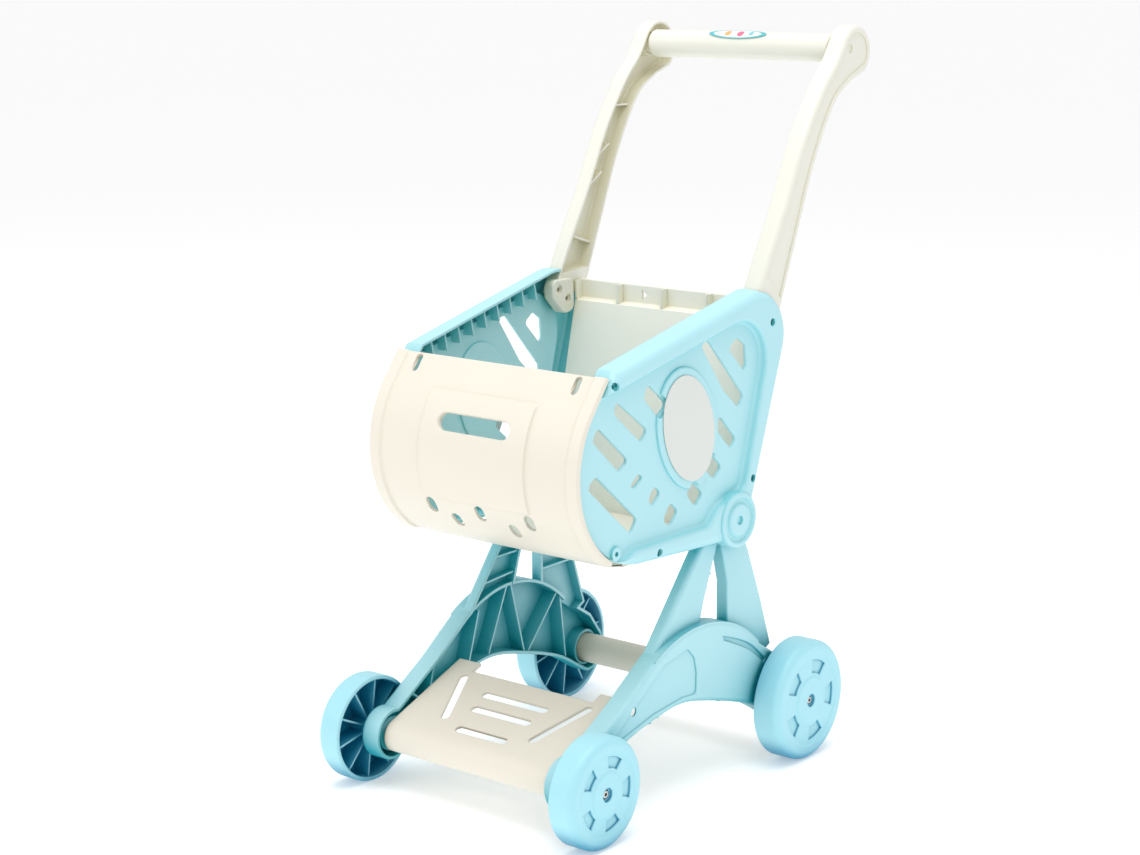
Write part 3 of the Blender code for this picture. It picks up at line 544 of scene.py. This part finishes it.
def build_side_panels():
    outline = panel_outline()
    web = rounded(WEB_CORNERS, 10)
    hub_top = PANEL_OUT + HUB_RISE
    plaque_top = WEB_OUT + PLAQUE_RISE
    recess = [(WEB_OUT, 2.6), (WEB_OUT + 0.4, 1.4), (WEB_OUT + 1.2, 0.5), (WEB_OUT + 2.4, 0.0),
              (PANEL_OUT - 2.6, -0.2), (PANEL_OUT - 1.2, -0.8), (PANEL_OUT - 0.4, -1.8),
              (PANEL_OUT + 0.1, -3.2), (CLEAR, -3.4)]
    rim_hollow = loft(inset(outline, WALL), [(5, 0), (PANEL_OUT - WALL - 2, 0), (PANEL_OUT - WALL, 2)])
    rim_hollow = carve("rim_hollow", rim_hollow, [("DIFFERENCE", prism(inset(web, -WALL - 0.6), 4, CLEAR))])
    room = [(-CLEAR, -0.4), (0, -0.4), (0.8, 0), (WEB_OUT - WALL - 1, 0), (WEB_OUT - WALL, 1.0)]
    hub_ring = rounded_top(circle(HUB, HUB_R, 72), LEG_OUT + 0.9, hub_top, 2.0)
    groove = [(PANEL_OUT + 0.2, 13.2), (PANEL_OUT + 0.2, 16.0), (PANEL_OUT + 1.2, 16.9),
              (hub_top + 0.2, 17.9), (hub_top + 4, 18.2), (hub_top + 4, 11.0), (hub_top + 0.2, 11.3),
              (PANEL_OUT + 1.2, 12.3)]
    ring_verts, ring_faces = turn_profile(groove, 72)
    ring = ([(x, y + HUB[0], z + HUB[1]) for x, y, z in ring_verts], ring_faces)
    slots = [flared(inset(rounded(softened(slot), 5), -0.3), 5, WEB_OUT, 0.9) for slot in WEB_SLOTS]
    posts = merged([prism(circle(p, 5.0, 28), 6, PANEL_OUT - 4.5) for p in PANEL_SCREWS])
    holes = merged([sunk_hole(p, SCREW_HOLE_R, 2.9, PANEL_OUT - 3.4, PANEL_OUT) for p in PANEL_SCREWS])
    pad = oval(PLAQUE_C, (PLAQUE_HALF[0] - 2.0, PLAQUE_HALF[1] - 2.0), PLAQUE_TILT)
    back_pad = loft(pad, [(WEB_OUT - WALL - 1.6, 1.2), (WEB_OUT - WALL - 1.2, 0.3), (WEB_OUT - WALL - 0.6, 0),
                          (WEB_OUT - 1.0, 0)])
    steps = [
        ("DIFFERENCE", loft(web, recess)),
        ("DIFFERENCE", loft(inset(outline, WALL), room)),
        ("DIFFERENCE", rim_hollow),
        ("UNION", comb_ribs()),
        ("UNION", hub_ring),
        ("DIFFERENCE", ring),
        ("UNION", rounded_top(oval(PLAQUE_C, PLAQUE_HALF, PLAQUE_TILT), WEB_OUT - 1.5, plaque_top, 1.6)),
        ("UNION", back_pad),
        ("UNION", posts),
        ("DIFFERENCE", prism(inset(legs_outline(), -FIT), -CLEAR, LEG_OUT + 0.4)),
        ("DIFFERENCE", holes),
        ("DIFFERENCE", flared(circle(HUB, 3.4, 28), PANEL_OUT + 0.2, hub_top, 0.6)),
    ] + [("DIFFERENCE", slot) for slot in slots]
    panel = carve("side_panel_right_visual", rounded_top(outline, 0, PANEL_OUT, 8.5, 9, 0.5), steps)
    on_side(panel)
    arm_room = mesh_of("arm_room", prism(inset(arm_outline(), -FIT), 40, ARM_X[1] + FIT))
    combine(panel, [("DIFFERENCE", straight(linked("arm_room", arm_room)))])
    finish_pair(panel, "side_panel", None, PANEL_BLUE, ["side_panel_%s"])


# ---- leg frames ----
def build_leg_frames():
    body, legs, gap = body_outline(), legs_outline(), rounded(LEG_GAP, 8)
    inside = BODY_OUT - 1.0
    leg_hollow = carve("leg_hollow", prism(inset(legs, WALL), -5, LEG_OUT - WALL),
                       [("DIFFERENCE", prism(inset(gap, -WALL), -6, CLEAR))])
    arch_wall = arc(ARCH_C, ARCH_R, 122, 46, 40) + arc(ARCH_C, ARCH_R - WALL, 46, 122, 40)
    ribs = merged([prism(rib_between(a, b), 1.5, inside) for a, b in ARCH_RIBS])
    chevrons = [((-100, 66), (-82, 54)), ((-74, 82), (-82, 54)), ((-50, 100), (-66, 62)),
                ((-42, 66), (-56, 94))]
    leg_ribs = [((16, 170), (38, 160)), ((2, 150), (33, 150)), ((-12, 132), (24, 134)),
                ((62, 176), (84, 166)), ((60, 150), (92, 146)), ((60, 128), (99, 128))]
    more = merged([prism(rib_between(a, b), 1.5, inside) for a, b in chevrons]
                  + [prism(rib_between(a, b), 1.5, LEG_OUT - 1.5) for a, b in leg_ribs])
    upper = carve("upper_legs", rounded_top(legs, 0, LEG_OUT, 4.0, 6, 0.4),
                  [("DIFFERENCE", flared(gap, -CLEAR, LEG_OUT, 1.6))])
    groove = curve_through([(43, 112), (62, 105.5), (80, 96.5), (97.5, 82)])
    groove += curve_through([(95.5, 79.5), (78, 92.8), (60.5, 101.7), (44, 108.8)])
    steps = [
        ("UNION", upper),
        ("DIFFERENCE", prism(inset(body, WALL), -CLEAR, BODY_OUT - WALL)),
        ("DIFFERENCE", leg_hollow),
        ("UNION", prism(arch_wall, 0.5, inside)),
        ("UNION", ribs),
        ("UNION", more),
        ("UNION", prism(circle(REAR_AXLE, TUBE_R + 3.0), 4, inside)),
        ("UNION", rounded_top(circle(FRONT_AXLE, 13.0), 3, BODY_OUT + 1.0, 1.0)),
        ("UNION", prism(circle(HUB, 6.0), 0.5, LEG_OUT - 0.5)),
        ("DIFFERENCE", flared(rounded(FRONT_FIELD, 8), BODY_OUT - 1.3, BODY_OUT, 1.2)),
        ("DIFFERENCE", flared(groove, BODY_OUT - 1.8, BODY_OUT, 1.0)),
        ("DIFFERENCE", sunk_hole(TRAY_SCREW, SCREW_HOLE_R, 3.3, BODY_OUT - 2.8, BODY_OUT)),
        ("DIFFERENCE", prism(circle(HUB, SCREW_HOLE_R, 20), -CLEAR, CLEAR)),
        ("DIFFERENCE", prism(circle(FRONT_AXLE, AXLE_BORE_R, 28), -40, 60)),
        ("DIFFERENCE", prism(circle(REAR_AXLE, TUBE_R + 0.7), -CLEAR, TUBE_HALF + 1.0 - SIDE_INNER_X - 3.9)),
        ("DIFFERENCE", prism(circle(REAR_AXLE, AXLE_BORE_R, 28), -CLEAR, CLEAR)),
    ]
    leg = carve("leg_frame_right_visual", rounded_top(body, 0, BODY_OUT, 4.0, 6, 0.4), steps)
    on_side(leg)
    finish_pair(leg, "leg_frame", None, FRAME_BLUE, ["leg_frame_%s"])


# ---- handle ----
def shifted(points, distance):
    """The open line moved to its right-hand side by the distance."""
    moved = []
    for i, point in enumerate(points):
        ahead, behind = points[min(i + 1, len(points) - 1)], points[max(i - 1, 0)]
        along = (Vector(ahead) - Vector(behind)).normalized()
        moved.append(tuple(Vector(point) + Vector((along.y, -along.x)) * distance))
    return moved


def build_arms():
    ends = (ARM_FRONT[0], ARM_REAR[-1])
    outline = [p for p in arm_outline() if p[1] > 353.0 or p in ends]
    inner, outer = ARM_X
    hollow = [p for p in inset(outline, WALL) if p[1] > 363.0]
    channel = (curve_through(shifted(ARM_FRONT[1:], 5.5)) + arc(BULB, BULB_R - 5.5, 118, -35, 30)
               + curve_through(shifted(ARM_REAR[:-1], 5.5)))
    ribs = [rib_between((154.5, 492), (177, 492)), rib_between((103, 392), (128, 384)),
            rib_between((121, 428), (141, 440)), rib_between((133, 452), (151, 462))]
    steps = [
        ("DIFFERENCE", flipped(flared(channel, outer - 1.4, outer, 0.9))),
        ("DIFFERENCE", flipped(flared(circle(BAR, 3.3, 28), outer - 2.4, outer - 1.4, 0.4))),
        ("UNION", rounded_top(rounded(ARM_FOOT, 10), -ARM_FOOT_X[1], -ARM_FOOT_X[0], 1.2)),
        ("DIFFERENCE", loft(hollow, [(-outer + WALL + 0.4, 1.0), (-outer + WALL + 1.6, 0), (-inner - 0.8, 0),
                                     (-inner, -0.5), (-60, -0.5)])),
        ("UNION", merged([prism(rib, -outer + 2.2, -inner - 4) for rib in ribs])),
        ("UNION", prism(circle(BAR, 10.5), -outer + 2.7, -91.0)),
        ("DIFFERENCE", prism(circle(BAR, BAR_NECK_R + 0.35), -97.4, -60)),
        ("DIFFERENCE", merged([prism(circle(p, SCREW_HOLE_R, 20), -91, -84.5) for p in FOOT_SCREWS])),
        ("DIFFERENCE", merged([flared(circle(p, 3.3, 28), -ARM_FOOT_X[0] - 1.5, -ARM_FOOT_X[0], 0.5)
                               for p in FOOT_SCREWS])),
    ]
    arm = carve("handle_arm_left_visual", flipped(rounded_top(outline, inner, outer, 4.2, 7, 0.5)), steps)
    straight(arm)
    right = mirrored(arm, "handle_arm_right_visual")
    finish_piece(arm, ROOT, HANDLE_IVORY, ["handle_arm_left"])
    finish_piece(right, ROOT, HANDLE_IVORY, ["handle_arm_right"])


def build_crossbar():
    end = BAR_HALF + 12.8
    half = [(0.0, BAR_R), (BAR_HALF - 1.0, BAR_R), (BAR_HALF + 0.2, BAR_R - 0.25),
            (BAR_HALF + 1.2, BAR_R - 1.2), (BAR_HALF + 1.8, BAR_NECK_R), (end - 0.5, BAR_NECK_R),
            (end, BAR_NECK_R - 0.5), (end, 1.8)]
    profile = [(-x, r) for x, r in half[:0:-1]] + half
    bar = carve("handle_crossbar_visual", turn_profile(profile, 96), [])
    bar.data.transform(Matrix.Translation((0, (BAR[0] - CENTRE_Y) * MM, BAR[1] * MM)))
    finish_piece(bar, ROOT, HANDLE_IVORY, ["handle_crossbar"])


# ---- basket front ----
def smoothstep(t):
    t = min(max(t, 0.0), 1.0)
    return t * t * (3 - 2 * t)


def front_half_width(s):
    """Half width of the front sheet along its profile: narrow underneath, wide above its side rims."""
    start = radians(90 + FRONT_RIM_LOW) * FRONT_R
    return FRONT_INSIDE_HALF + (FRONT_HALF - FRONT_INSIDE_HALF) * smoothstep((s - start + 3.0) / 6.0)


def front_point(s, offset):
    """A point of the front's profile: s runs up along the outer surface from straight below."""
    round_length = radians(90 + BASKET_TOP_ANGLE) * FRONT_R
    a = min(s, round_length) / FRONT_R - pi / 2
    outward = Vector((-cos(a), sin(a)))
    point = Vector(BASKET_C) + outward * FRONT_R
    if s > round_length:
        point += Vector((sin(a), cos(a))) * (s - round_length)
    return point + outward * offset


def build_front_panel():
    round_length = radians(90 + BASKET_TOP_ANGLE) * FRONT_R
    total = round_length + FRONT_LIP
    rim_start = radians(90 + FRONT_RIM_LOW) * FRONT_R
    emboss_low, emboss_high = radians(90 - 24) * FRONT_R, radians(90 + 38) * FRONT_R
    us = [-1 + 2 * i / 150 for i in range(151)]
    us = sorted(set(us + [sign * (1 - k * 0.0035) for k in range(1, 8) for sign in (-1, 1)]
                    + [sign * (0.5144 + k * 0.004) for k in range(-3, 4) for sign in (-1, 1)]
                    + [sign * (0.885 + k * 0.005) for k in range(-3, 4) for sign in (-1, 1)]))
    ss = sorted(set([total * j / 130 for j in range(131)]
                    + [emboss_low + k * 0.4 for k in range(-4, 5)]
                    + [emboss_high + k * 0.4 for k in range(-4, 5)]
                    + [total - k * 0.3 for k in range(1, 6)] + [k * 0.3 for k in range(1, 4)]))

    def edge_drop(inside, radius):
        if inside >= radius:
            return 0.0
        return radius - sqrt(max(radius * radius - (radius - inside) ** 2, 0.0))

    def outer_offset(x, s, half):
        rim = smoothstep((abs(x) - 85.4) / 2.4) * smoothstep((s - rim_start) / 4.0)
        dx = abs(x) - 47.0
        ds = abs(s - (emboss_low + emboss_high) / 2) - (emboss_high - emboss_low) / 2 + 3.0
        distance = hypot(max(dx, 0), max(ds, 0)) + min(max(dx, ds), 0) - 3.0
        raised = smoothstep(-distance / 1.4)
        drop = max(edge_drop(half - abs(x), 1.8), edge_drop(total - s, 1.1))
        return 1.7 * rim + 1.5 * raised - drop

    def inner_offset(x, s, half):
        rim = smoothstep((abs(x) - 85.8) / 1.4) * smoothstep((s - rim_start) / 4.0)
        drop = max(edge_drop(half - abs(x), 1.4), edge_drop(total - s, 1.1))
        return -WALL - 0.6 * rim + drop

    verts, faces = [], []
    rows, columns = len(ss), len(us)
    for layer in (outer_offset, inner_offset):
        for s in ss:
            half = front_half_width(s)
            for u in us:
                x = u * half
                y, z = front_point(s, layer(x, s, half))
                verts.append((x, y, z))
    base = rows * columns
    for j in range(rows - 1):
        for i in range(columns - 1):
            a, b = j * columns + i, (j + 1) * columns + i
            faces.append((a, a + 1, b + 1, b))
            faces.append((base + a, base + b, base + b + 1, base + a + 1))
    rim_path = ([(0, i) for i in range(columns)] + [(j, columns - 1) for j in range(1, rows)]
                + [(rows - 1, i) for i in range(columns - 2, -1, -1)]
                + [(j, 0) for j in range(rows - 2, 0, -1)])
    for k, (j, i) in enumerate(rim_path):
        nj, ni = rim_path[(k + 1) % len(rim_path)]
        a, b = j * columns + i, nj * columns + ni
        faces.append((a, b, base + b, base + a))

    def radial_slot(x, angle, length, width, upright):
        """A capsule through the sheet, eased at the outer and the inner surface."""
        outline = capsule(length, width)
        levels = [(-24, -0.6), (-WALL - 0.5, -0.6), (-WALL + 0.3, 0), (0.2, 0), (0.8, -0.25),
                  (1.35, -0.8), (24, -0.8)]
        solid = loft(outline, levels)
        a = radians(angle)
        outward = Vector((0, -cos(a), sin(a)))
        up = Vector((0, sin(a), cos(a)))
        across = Vector((1, 0, 0))
        first, second = (up, -across) if upright else (across, up)
        origin = Vector((x, *(Vector(BASKET_C) + Vector((-cos(a), sin(a))) * FRONT_R)))
        points = [tuple(origin + outward * d + first * u + second * v) for d, u, v in solid[0]]
        return points, solid[1]

    slots = [radial_slot(0, 20.5, 66, 13, False)]
    slots += [radial_slot(x, -30, 14, 8.5, True) for x in (-46, 0, 46)]
    slots += [radial_slot(x, -39, 14, 8.5, True) for x in (-27, 27)]
    slots += [radial_slot(x, 51, 13, 4.2, True) for x in (-74, 74)]
    floor_z = BASKET_C[1] - FRONT_R
    floor_half = FRONT_INSIDE_HALF + 0.4
    floor = prism(box_outline(BASKET_C[0] - 6, 61.5, floor_z, floor_z + WALL), -floor_half, floor_half)
    panel = carve("front_panel_visual", (verts, faces), [("UNION", floor), ("DIFFERENCE", merged(slots))])
    straight(panel)
    finish_piece(panel, ROOT, IVORY, ["front_panel"])


# ---- basket back and tray ----
def along_x(outline, half, ease=0.5):
    return loft(outline, [(-half, ease), (-half + ease, 0), (half - ease, 0), (half, ease)])


def build_back_panel():
    foot, knee = Vector((64.0, 183.2)), Vector((99.0, 342.0))
    lean = (knee - foot).normalized()
    behind = Vector((lean.y, -lean.x)) * WALL
    low_back, high_back = foot + behind, knee + behind - lean
    sheet = [(*foot, 0.8), (*knee, 0.6), (106.0, 343.5, 0.8), (106.0, 358.0, 1.1), (108.5, 358.0, 1.1),
             (108.5, 341.0, 2.5), (*high_back, 1.5), (*low_back, 0.8)]
    ribs = []
    for x in (-84.0, -42.5, 0.0, 42.5, 84.0):
        ribs.append(prism([(99.2, 342.5), (107.0, 342.5), (107.0, 357.2), (98.6, 357.2)], x - 0.9, x + 0.9))
    corners = ((-23.5, 346.5), (-18.5, 350.5), (-23.5, 354.5))
    notch = ([(x, y, z) for y in (98.0, 112.0) for x, z in corners],
             [(0, 1, 2), (3, 4, 5), (0, 1, 4, 3), (1, 2, 5, 4), (2, 0, 3, 5)])
    panel = carve("back_panel_visual", along_x(rounded(sheet, 4), 85.0, 0.4),
                  [("UNION", merged(ribs)), ("DIFFERENCE", notch)])
    straight(panel)
    finish_piece(panel, ROOT, BACK_IVORY, ["back_panel"])


def build_tray():
    slope = Vector((cos(radians(TRAY_TILT)), sin(radians(TRAY_TILT))))
    up = Vector((-slope.y, slope.x))
    crest = Vector(FRONT_AXLE) + up * TRAY_ROLL_R
    rear = crest + slope * TRAY_LENGTH
    roll = arc(FRONT_AXLE, TRAY_ROLL_R, 90 + TRAY_TILT, 330, 48)
    roll_inner = arc(FRONT_AXLE, TRAY_ROLL_R - WALL, 330, 90 + TRAY_TILT, 48)
    back = rear - up * WALL
    edge = [tuple(rear - slope * 0.8), tuple(rear - slope * 0.2 - up * 0.3), tuple(rear - up * 1.0),
            tuple(back + up * 0.6), tuple(back - slope * 0.3 + up * 0.1), tuple(back - slope * 0.9)]
    sheet = roll + roll_inner + edge[::-1]
    start, end = rear - slope * 11, rear + slope * 11
    notch = [tuple(start + up * 5), tuple(end + up * 5), tuple(end - up * 20), tuple(start - up * 20)]
    cutters = []
    for x, up_slope, length, turn in ((0, 52, 62, 0), (0, 35, 56, 0), (0, 11, 48, 0),
                                      (-51, 42, 54, 112), (51, 42, 54, 68)):
        place = crest + slope * up_slope
        solid = loft(capsule(length, 6.6), [(-12, -0.5), (-WALL - 0.3, -0.5), (-WALL + 0.3, 0), (-0.8, 0),
                                            (-0.3, -0.2), (0.05, -0.8), (12, -0.9)])
        turned = Matrix.Rotation(radians(turn), 3, "Z")
        points = []
        for d, u, v in solid[0]:
            flat = turned @ Vector((u, v, 0))
            at = place + slope * flat.y + up * d
            points.append((x + flat.x, at.x, at.y))
        cutters.append((points, solid[1]))
    tray = carve("lower_tray_visual", along_x(sheet, TRAY_HALF, 0.5),
                 [("DIFFERENCE", prism(notch, -58.0, 58.0)), ("DIFFERENCE", merged(cutters))])
    straight(tray)
    finish_piece(tray, ROOT, IVORY, ["lower_tray"])


# ---- wheels, axles, tube ----
def build_wheel_pair(stem):
    low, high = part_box("%s_wheel_right" % stem)
    radius = (high.z - low.z) / 2 / MM
    width = (high.x - low.x) / MM
    centre = Vector((low.x, (low.y + high.y) / 2, (low.z + high.z) / 2))
    tread = radius - 3.2
    web = width - 3.4
    crown = []
    for i in range(9):
        a = pi / 2 * i / 8
        crown.append((width - 6.0 + 6.0 * sin(a), radius - 6.0 + 6.0 * cos(a)))
    dish = radius * 0.74
    disc = radius * 0.40
    step = [(width - 0.1, dish + 2.0), (width - 0.3, dish + 1.0), (width - 0.8, dish),
            (width - 1.0, dish - 1.0), (width - 1.0, disc + 1.4), (width - 0.8, disc + 0.4),
            (width - 0.3, disc - 0.6), (width - 0.1, disc - 1.6)]
    profile = ([(0.5, tread), (0.0, tread + 0.5), (0.0, radius - 1.2), (0.35, radius - 0.35), (1.2, radius)]
               + crown + step
               + [(width - 0.1, 6.0), (width - 0.4, 5.2), (width - 1.0, 5.0), (width - 2.4, 5.0),
                  (width - 2.4, AXLE_BORE_R), (2.0, AXLE_BORE_R), (2.0, 8.0), (2.5, 8.5), (web, 8.8),
                  (web, tread - 0.6)])
    ribs = []
    for i in range(10):
        a = radians(36 * i + 11)
        spoke = Vector((cos(a), sin(a)))
        ribs.append(prism(rib_between(spoke * 7.5, spoke * (radius - 2.0), 1.5), 3.2, web + 1.0))
    pockets = []
    for i in range(5):
        a = 72 * i - 3
        outline = arc((0, 0), dish - 3.0, a - 17, a + 17, 14) + arc((0, 0), disc + 3.0, a + 15, a - 15, 8)
        pockets.append(flared(outline, width - 2.8, width - 1.0, 1.0))
    wheel = carve("%s_wheel_right_visual" % stem, turn_profile(profile, 120),
                  [("UNION", merged(ribs)), ("DIFFERENCE", merged(pockets))])
    wheel.data.transform(Matrix.Translation(centre))
    finish_pair(wheel, "%s_wheel" % stem, "%s_wheel" % stem, WHEEL_BLUE, [stem + "_wheel_%s"])


def build_rods():
    for node, bore, material, slot in (("front_axle", 1.3, STEEL, "steel"),
                                       ("rear_axle", 1.3, STEEL, "steel"),
                                       ("rear_tube", 3.6, TUBE_IVORY, "tube_ivory")):
        low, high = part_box(node)
        radius = (high.z - low.z) / 2 / MM
        half = high.x / MM
        ease = 0.4
        rod = [(-half, bore), (-half, radius - ease), (-half + ease, radius), (half - ease, radius),
               (half, radius - ease), (half, bore)]
        obj = carve(node + "_visual", turn_profile(rod, 72), [])
        obj.data.transform(Matrix.Translation((0, (low.y + high.y) / 2, (low.z + high.z) / 2)))
        finish_piece(obj, ROOT, material, [node])


# ---- screws and labels ----
def build_screws():
    """Pan heads with a cross recess, one for each CAD screw, turned to face the way its head does."""
    for node in sorted(frame["nodes"]):
        if "_screw_" not in node:
            continue
        body = next(b for b, members in frame["record"]["behaviour"]["bodies"].items() if node in members)
        low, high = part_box(node)
        outward = 1 if node.endswith("right") or "_right_" in node else -1
        facing = -outward if node.startswith("foot") else outward
        head_r = (high.z - low.z) / 2 / MM
        head_h, shank_r = SCREW_HEAD_RISE, SCREW_SHANK_R
        length = (high.x - low.x) / MM
        tip = length - head_h - 0.3
        profile = [(head_h, 0.02), (head_h - 0.05, head_r * 0.45), (head_h - 0.3, head_r * 0.78),
                   (0.35, head_r * 0.98), (0.1, head_r), (0, head_r - 0.1), (0, shank_r),
                   (-tip + 1, shank_r), (-tip, 0.4), (-tip, 0.02)]
        reach, arm_width = head_r * 1.15 / 2, head_r * 0.22
        # The second bar differs a little, so that no faces of the two coincide.
        cross = merged([prism(rib_between((-reach, 0), (reach, 0), arm_width), head_h - 0.7, 5),
                        prism(rib_between((0, -reach), (0, reach), arm_width * 0.98), head_h - 0.69, 5.1)])
        obj = carve(node + "_visual", turn_profile(profile, 32), [("DIFFERENCE", cross)])
        obj.data.transform(Matrix.Rotation(radians(28 + 17 * (len(node) % 5)), 4, "X"))
        if facing < 0:
            obj.data.transform(Matrix.Rotation(pi, 4, "Z"))
        seat_x = (high.x - head_h * MM) if facing > 0 else (low.x + head_h * MM)
        obj.data.transform(Matrix.Translation((seat_x, (low.y + high.y) / 2, (low.z + high.z) / 2)))
        finish_piece(obj, body, STEEL, [node])


def build_side_labels():
    low = WEB_OUT + PLAQUE_RISE + 0.2
    label = carve("side_label_right_visual",
                  rounded_top(oval(PLAQUE_C, LABEL_HALF, PLAQUE_TILT, 96), low, low + 0.6, 0.3, 3), [])
    on_side(label)
    finish_pair(label, "side_label", None, LABEL_GREY, ["side_label_%s"])


def build_handle_label():
    """A thin oval film that follows the top of the bar."""
    mat = bpy.data.materials.new("handle_label_look")
    mat.use_nodes = True
    nodes, links = mat.node_tree.nodes, mat.node_tree.links
    shader = nodes["Principled BSDF"]
    shader.inputs["Roughness"].default_value = 0.4
    attribute = nodes.new("ShaderNodeAttribute")
    attribute.attribute_name = "label_colour"
    speckle = nodes.new("ShaderNodeTexNoise")
    speckle.inputs["Scale"].default_value = 900.0
    shade = nodes.new("ShaderNodeMix")
    shade.data_type = "RGBA"
    shade.blend_type = "MULTIPLY"
    shade.inputs["Factor"].default_value = 0.12
    links.new(attribute.outputs["Color"], shade.inputs["A"])
    links.new(speckle.outputs["Color"], shade.inputs["B"])
    links.new(shade.outputs["Result"], shader.inputs["Base Color"])

    half_x, half_y = 27.0, 4.8
    rings, sectors = 26, 96
    inner = BAR_R + 0.3
    verts, faces, colours = [], [], []
    dots = [(-9.0, 0.3, 2.9, (0.85, 0.42, 0.16)), (3.0, 0.0, 3.1, (0.80, 0.15, 0.28)),
            (13.0, 0.4, 2.3, (0.2, 0.55, 0.6))]
    for layer in (0.5, 0.0):
        for ring in range(rings + 1):
            share = ring / rings
            for k in range(sectors):
                a = 2 * pi * k / sectors
                x, v = half_x * share * cos(a), half_y * share * sin(a)
                lean = radians(-36) + v / inner
                height = inner + layer
                verts.append((x, height * sin(lean), height * cos(lean)))
                colour = (0.10, 0.50, 0.55) if share > 0.84 else (0.90, 0.90, 0.86)
                for dot_x, dot_v, dot_r, dot_colour in dots:
                    if hypot(x - dot_x, v - dot_v) < dot_r:
                        colour = dot_colour
                colours.append((*colour, 1.0))
    per_layer = (rings + 1) * sectors
    for layer in (0, 1):
        for ring in range(rings):
            for k in range(sectors):
                n = (k + 1) % sectors
                a = layer * per_layer + ring * sectors
                faces.append((a + k, a + n, a + sectors + n, a + sectors + k))
    for k in range(sectors):
        n = (k + 1) % sectors
        a = rings * sectors
        faces.append((a + k, a + n, per_layer + a + n, per_layer + a + k))
    mesh = bpy.data.meshes.new("handle_label_visual")
    mesh.from_pydata([Vector(v) * MM for v in verts], [], faces)
    layer = mesh.color_attributes.new("label_colour", "FLOAT_COLOR", "POINT")
    for datum, colour in zip(layer.data, colours):
        datum.color = colour
    bm = bmesh.new()
    bm.from_mesh(mesh)
    bmesh.ops.remove_doubles(bm, verts=bm.verts, dist=MERGE_DISTANCE)
    bmesh.ops.recalc_face_normals(bm, faces=bm.faces)
    bm.to_mesh(mesh)
    bm.free()
    label = linked("handle_label_visual", mesh)
    mesh.transform(Matrix.Translation((0, (BAR[0] - CENTRE_Y) * MM, BAR[1] * MM)))
    finish_piece(label, ROOT, mat, ["handle_label"])


# ---- setting ----
def build_setting():
    bpy.ops.mesh.primitive_grid_add(x_subdivisions=2, y_subdivisions=2, size=240.0)
    floor = bpy.context.object
    floor.name = "studio_floor"
    mat = bpy.data.materials.new("studio_floor_look")
    mat.use_nodes = True
    shader = mat.node_tree.nodes["Principled BSDF"]
    shader.inputs["Base Color"].default_value = (0.93, 0.93, 0.93, 1.0)
    shader.inputs["Roughness"].default_value = 0.75
    shader.inputs["Specular IOR Level"].default_value = 0.2
    shader.inputs["Emission Color"].default_value = (1.0, 1.0, 1.0, 1.0)
    shader.inputs["Emission Strength"].default_value = 0.32
    floor.data.materials.append(mat)

    world = bpy.context.scene.world or bpy.data.worlds.new("studio")
    bpy.context.scene.world = world
    world.use_nodes = True
    background = world.node_tree.nodes["Background"]
    background.inputs["Color"].default_value = (1.0, 1.0, 1.0, 1.0)
    background.inputs["Strength"].default_value = 0.68

    def softbox(name, place, aim, size, power):
        data = bpy.data.lights.new(name, "AREA")
        data.shape = "SQUARE"
        data.size = size
        data.energy = power
        light = linked(name, data)
        light.location = place
        light.rotation_euler = (Vector(aim) - Vector(place)).to_track_quat("-Z", "Y").to_euler()

    middle = (0.0, 0.0, 0.25)
    softbox("top_softbox", (0.1, -0.2, 2.0), middle, 1.6, 22.0)
    softbox("front_softbox", (-0.9, -1.9, 1.3), middle, 1.2, 5.0)
    softbox("right_softbox", (2.0, -0.5, 1.0), middle, 1.2, 1.0)


def build_camera():
    azimuth, elevation, distance = radians(38.7605), radians(11.7476), 1.6673
    target = Vector((0.0, -0.04845, 0.2669))
    back = Vector((sin(azimuth) * cos(elevation), -cos(azimuth) * cos(elevation), sin(elevation)))
    data = bpy.data.cameras.new("camera")
    data.sensor_width = 36.0
    data.lens = 71.04
    data.clip_end = 400.0
    camera = linked("camera", data)
    camera.location = target + back * distance
    camera.rotation_euler = back.to_track_quat("Z", "Y").to_euler()
    bpy.context.scene.camera = camera


build_side_panels()
build_leg_frames()
build_arms()
build_crossbar()
build_front_panel()
build_back_panel()
build_tray()
build_wheel_pair("front")
build_wheel_pair("rear")
build_rods()
build_screws()
build_side_labels()
build_handle_label()
build_setting()
build_camera()
bpy.context.scene.view_settings.view_transform = "Standard"
bpy.context.scene.view_settings.look = "None"

bpy.context.view_layer.update()
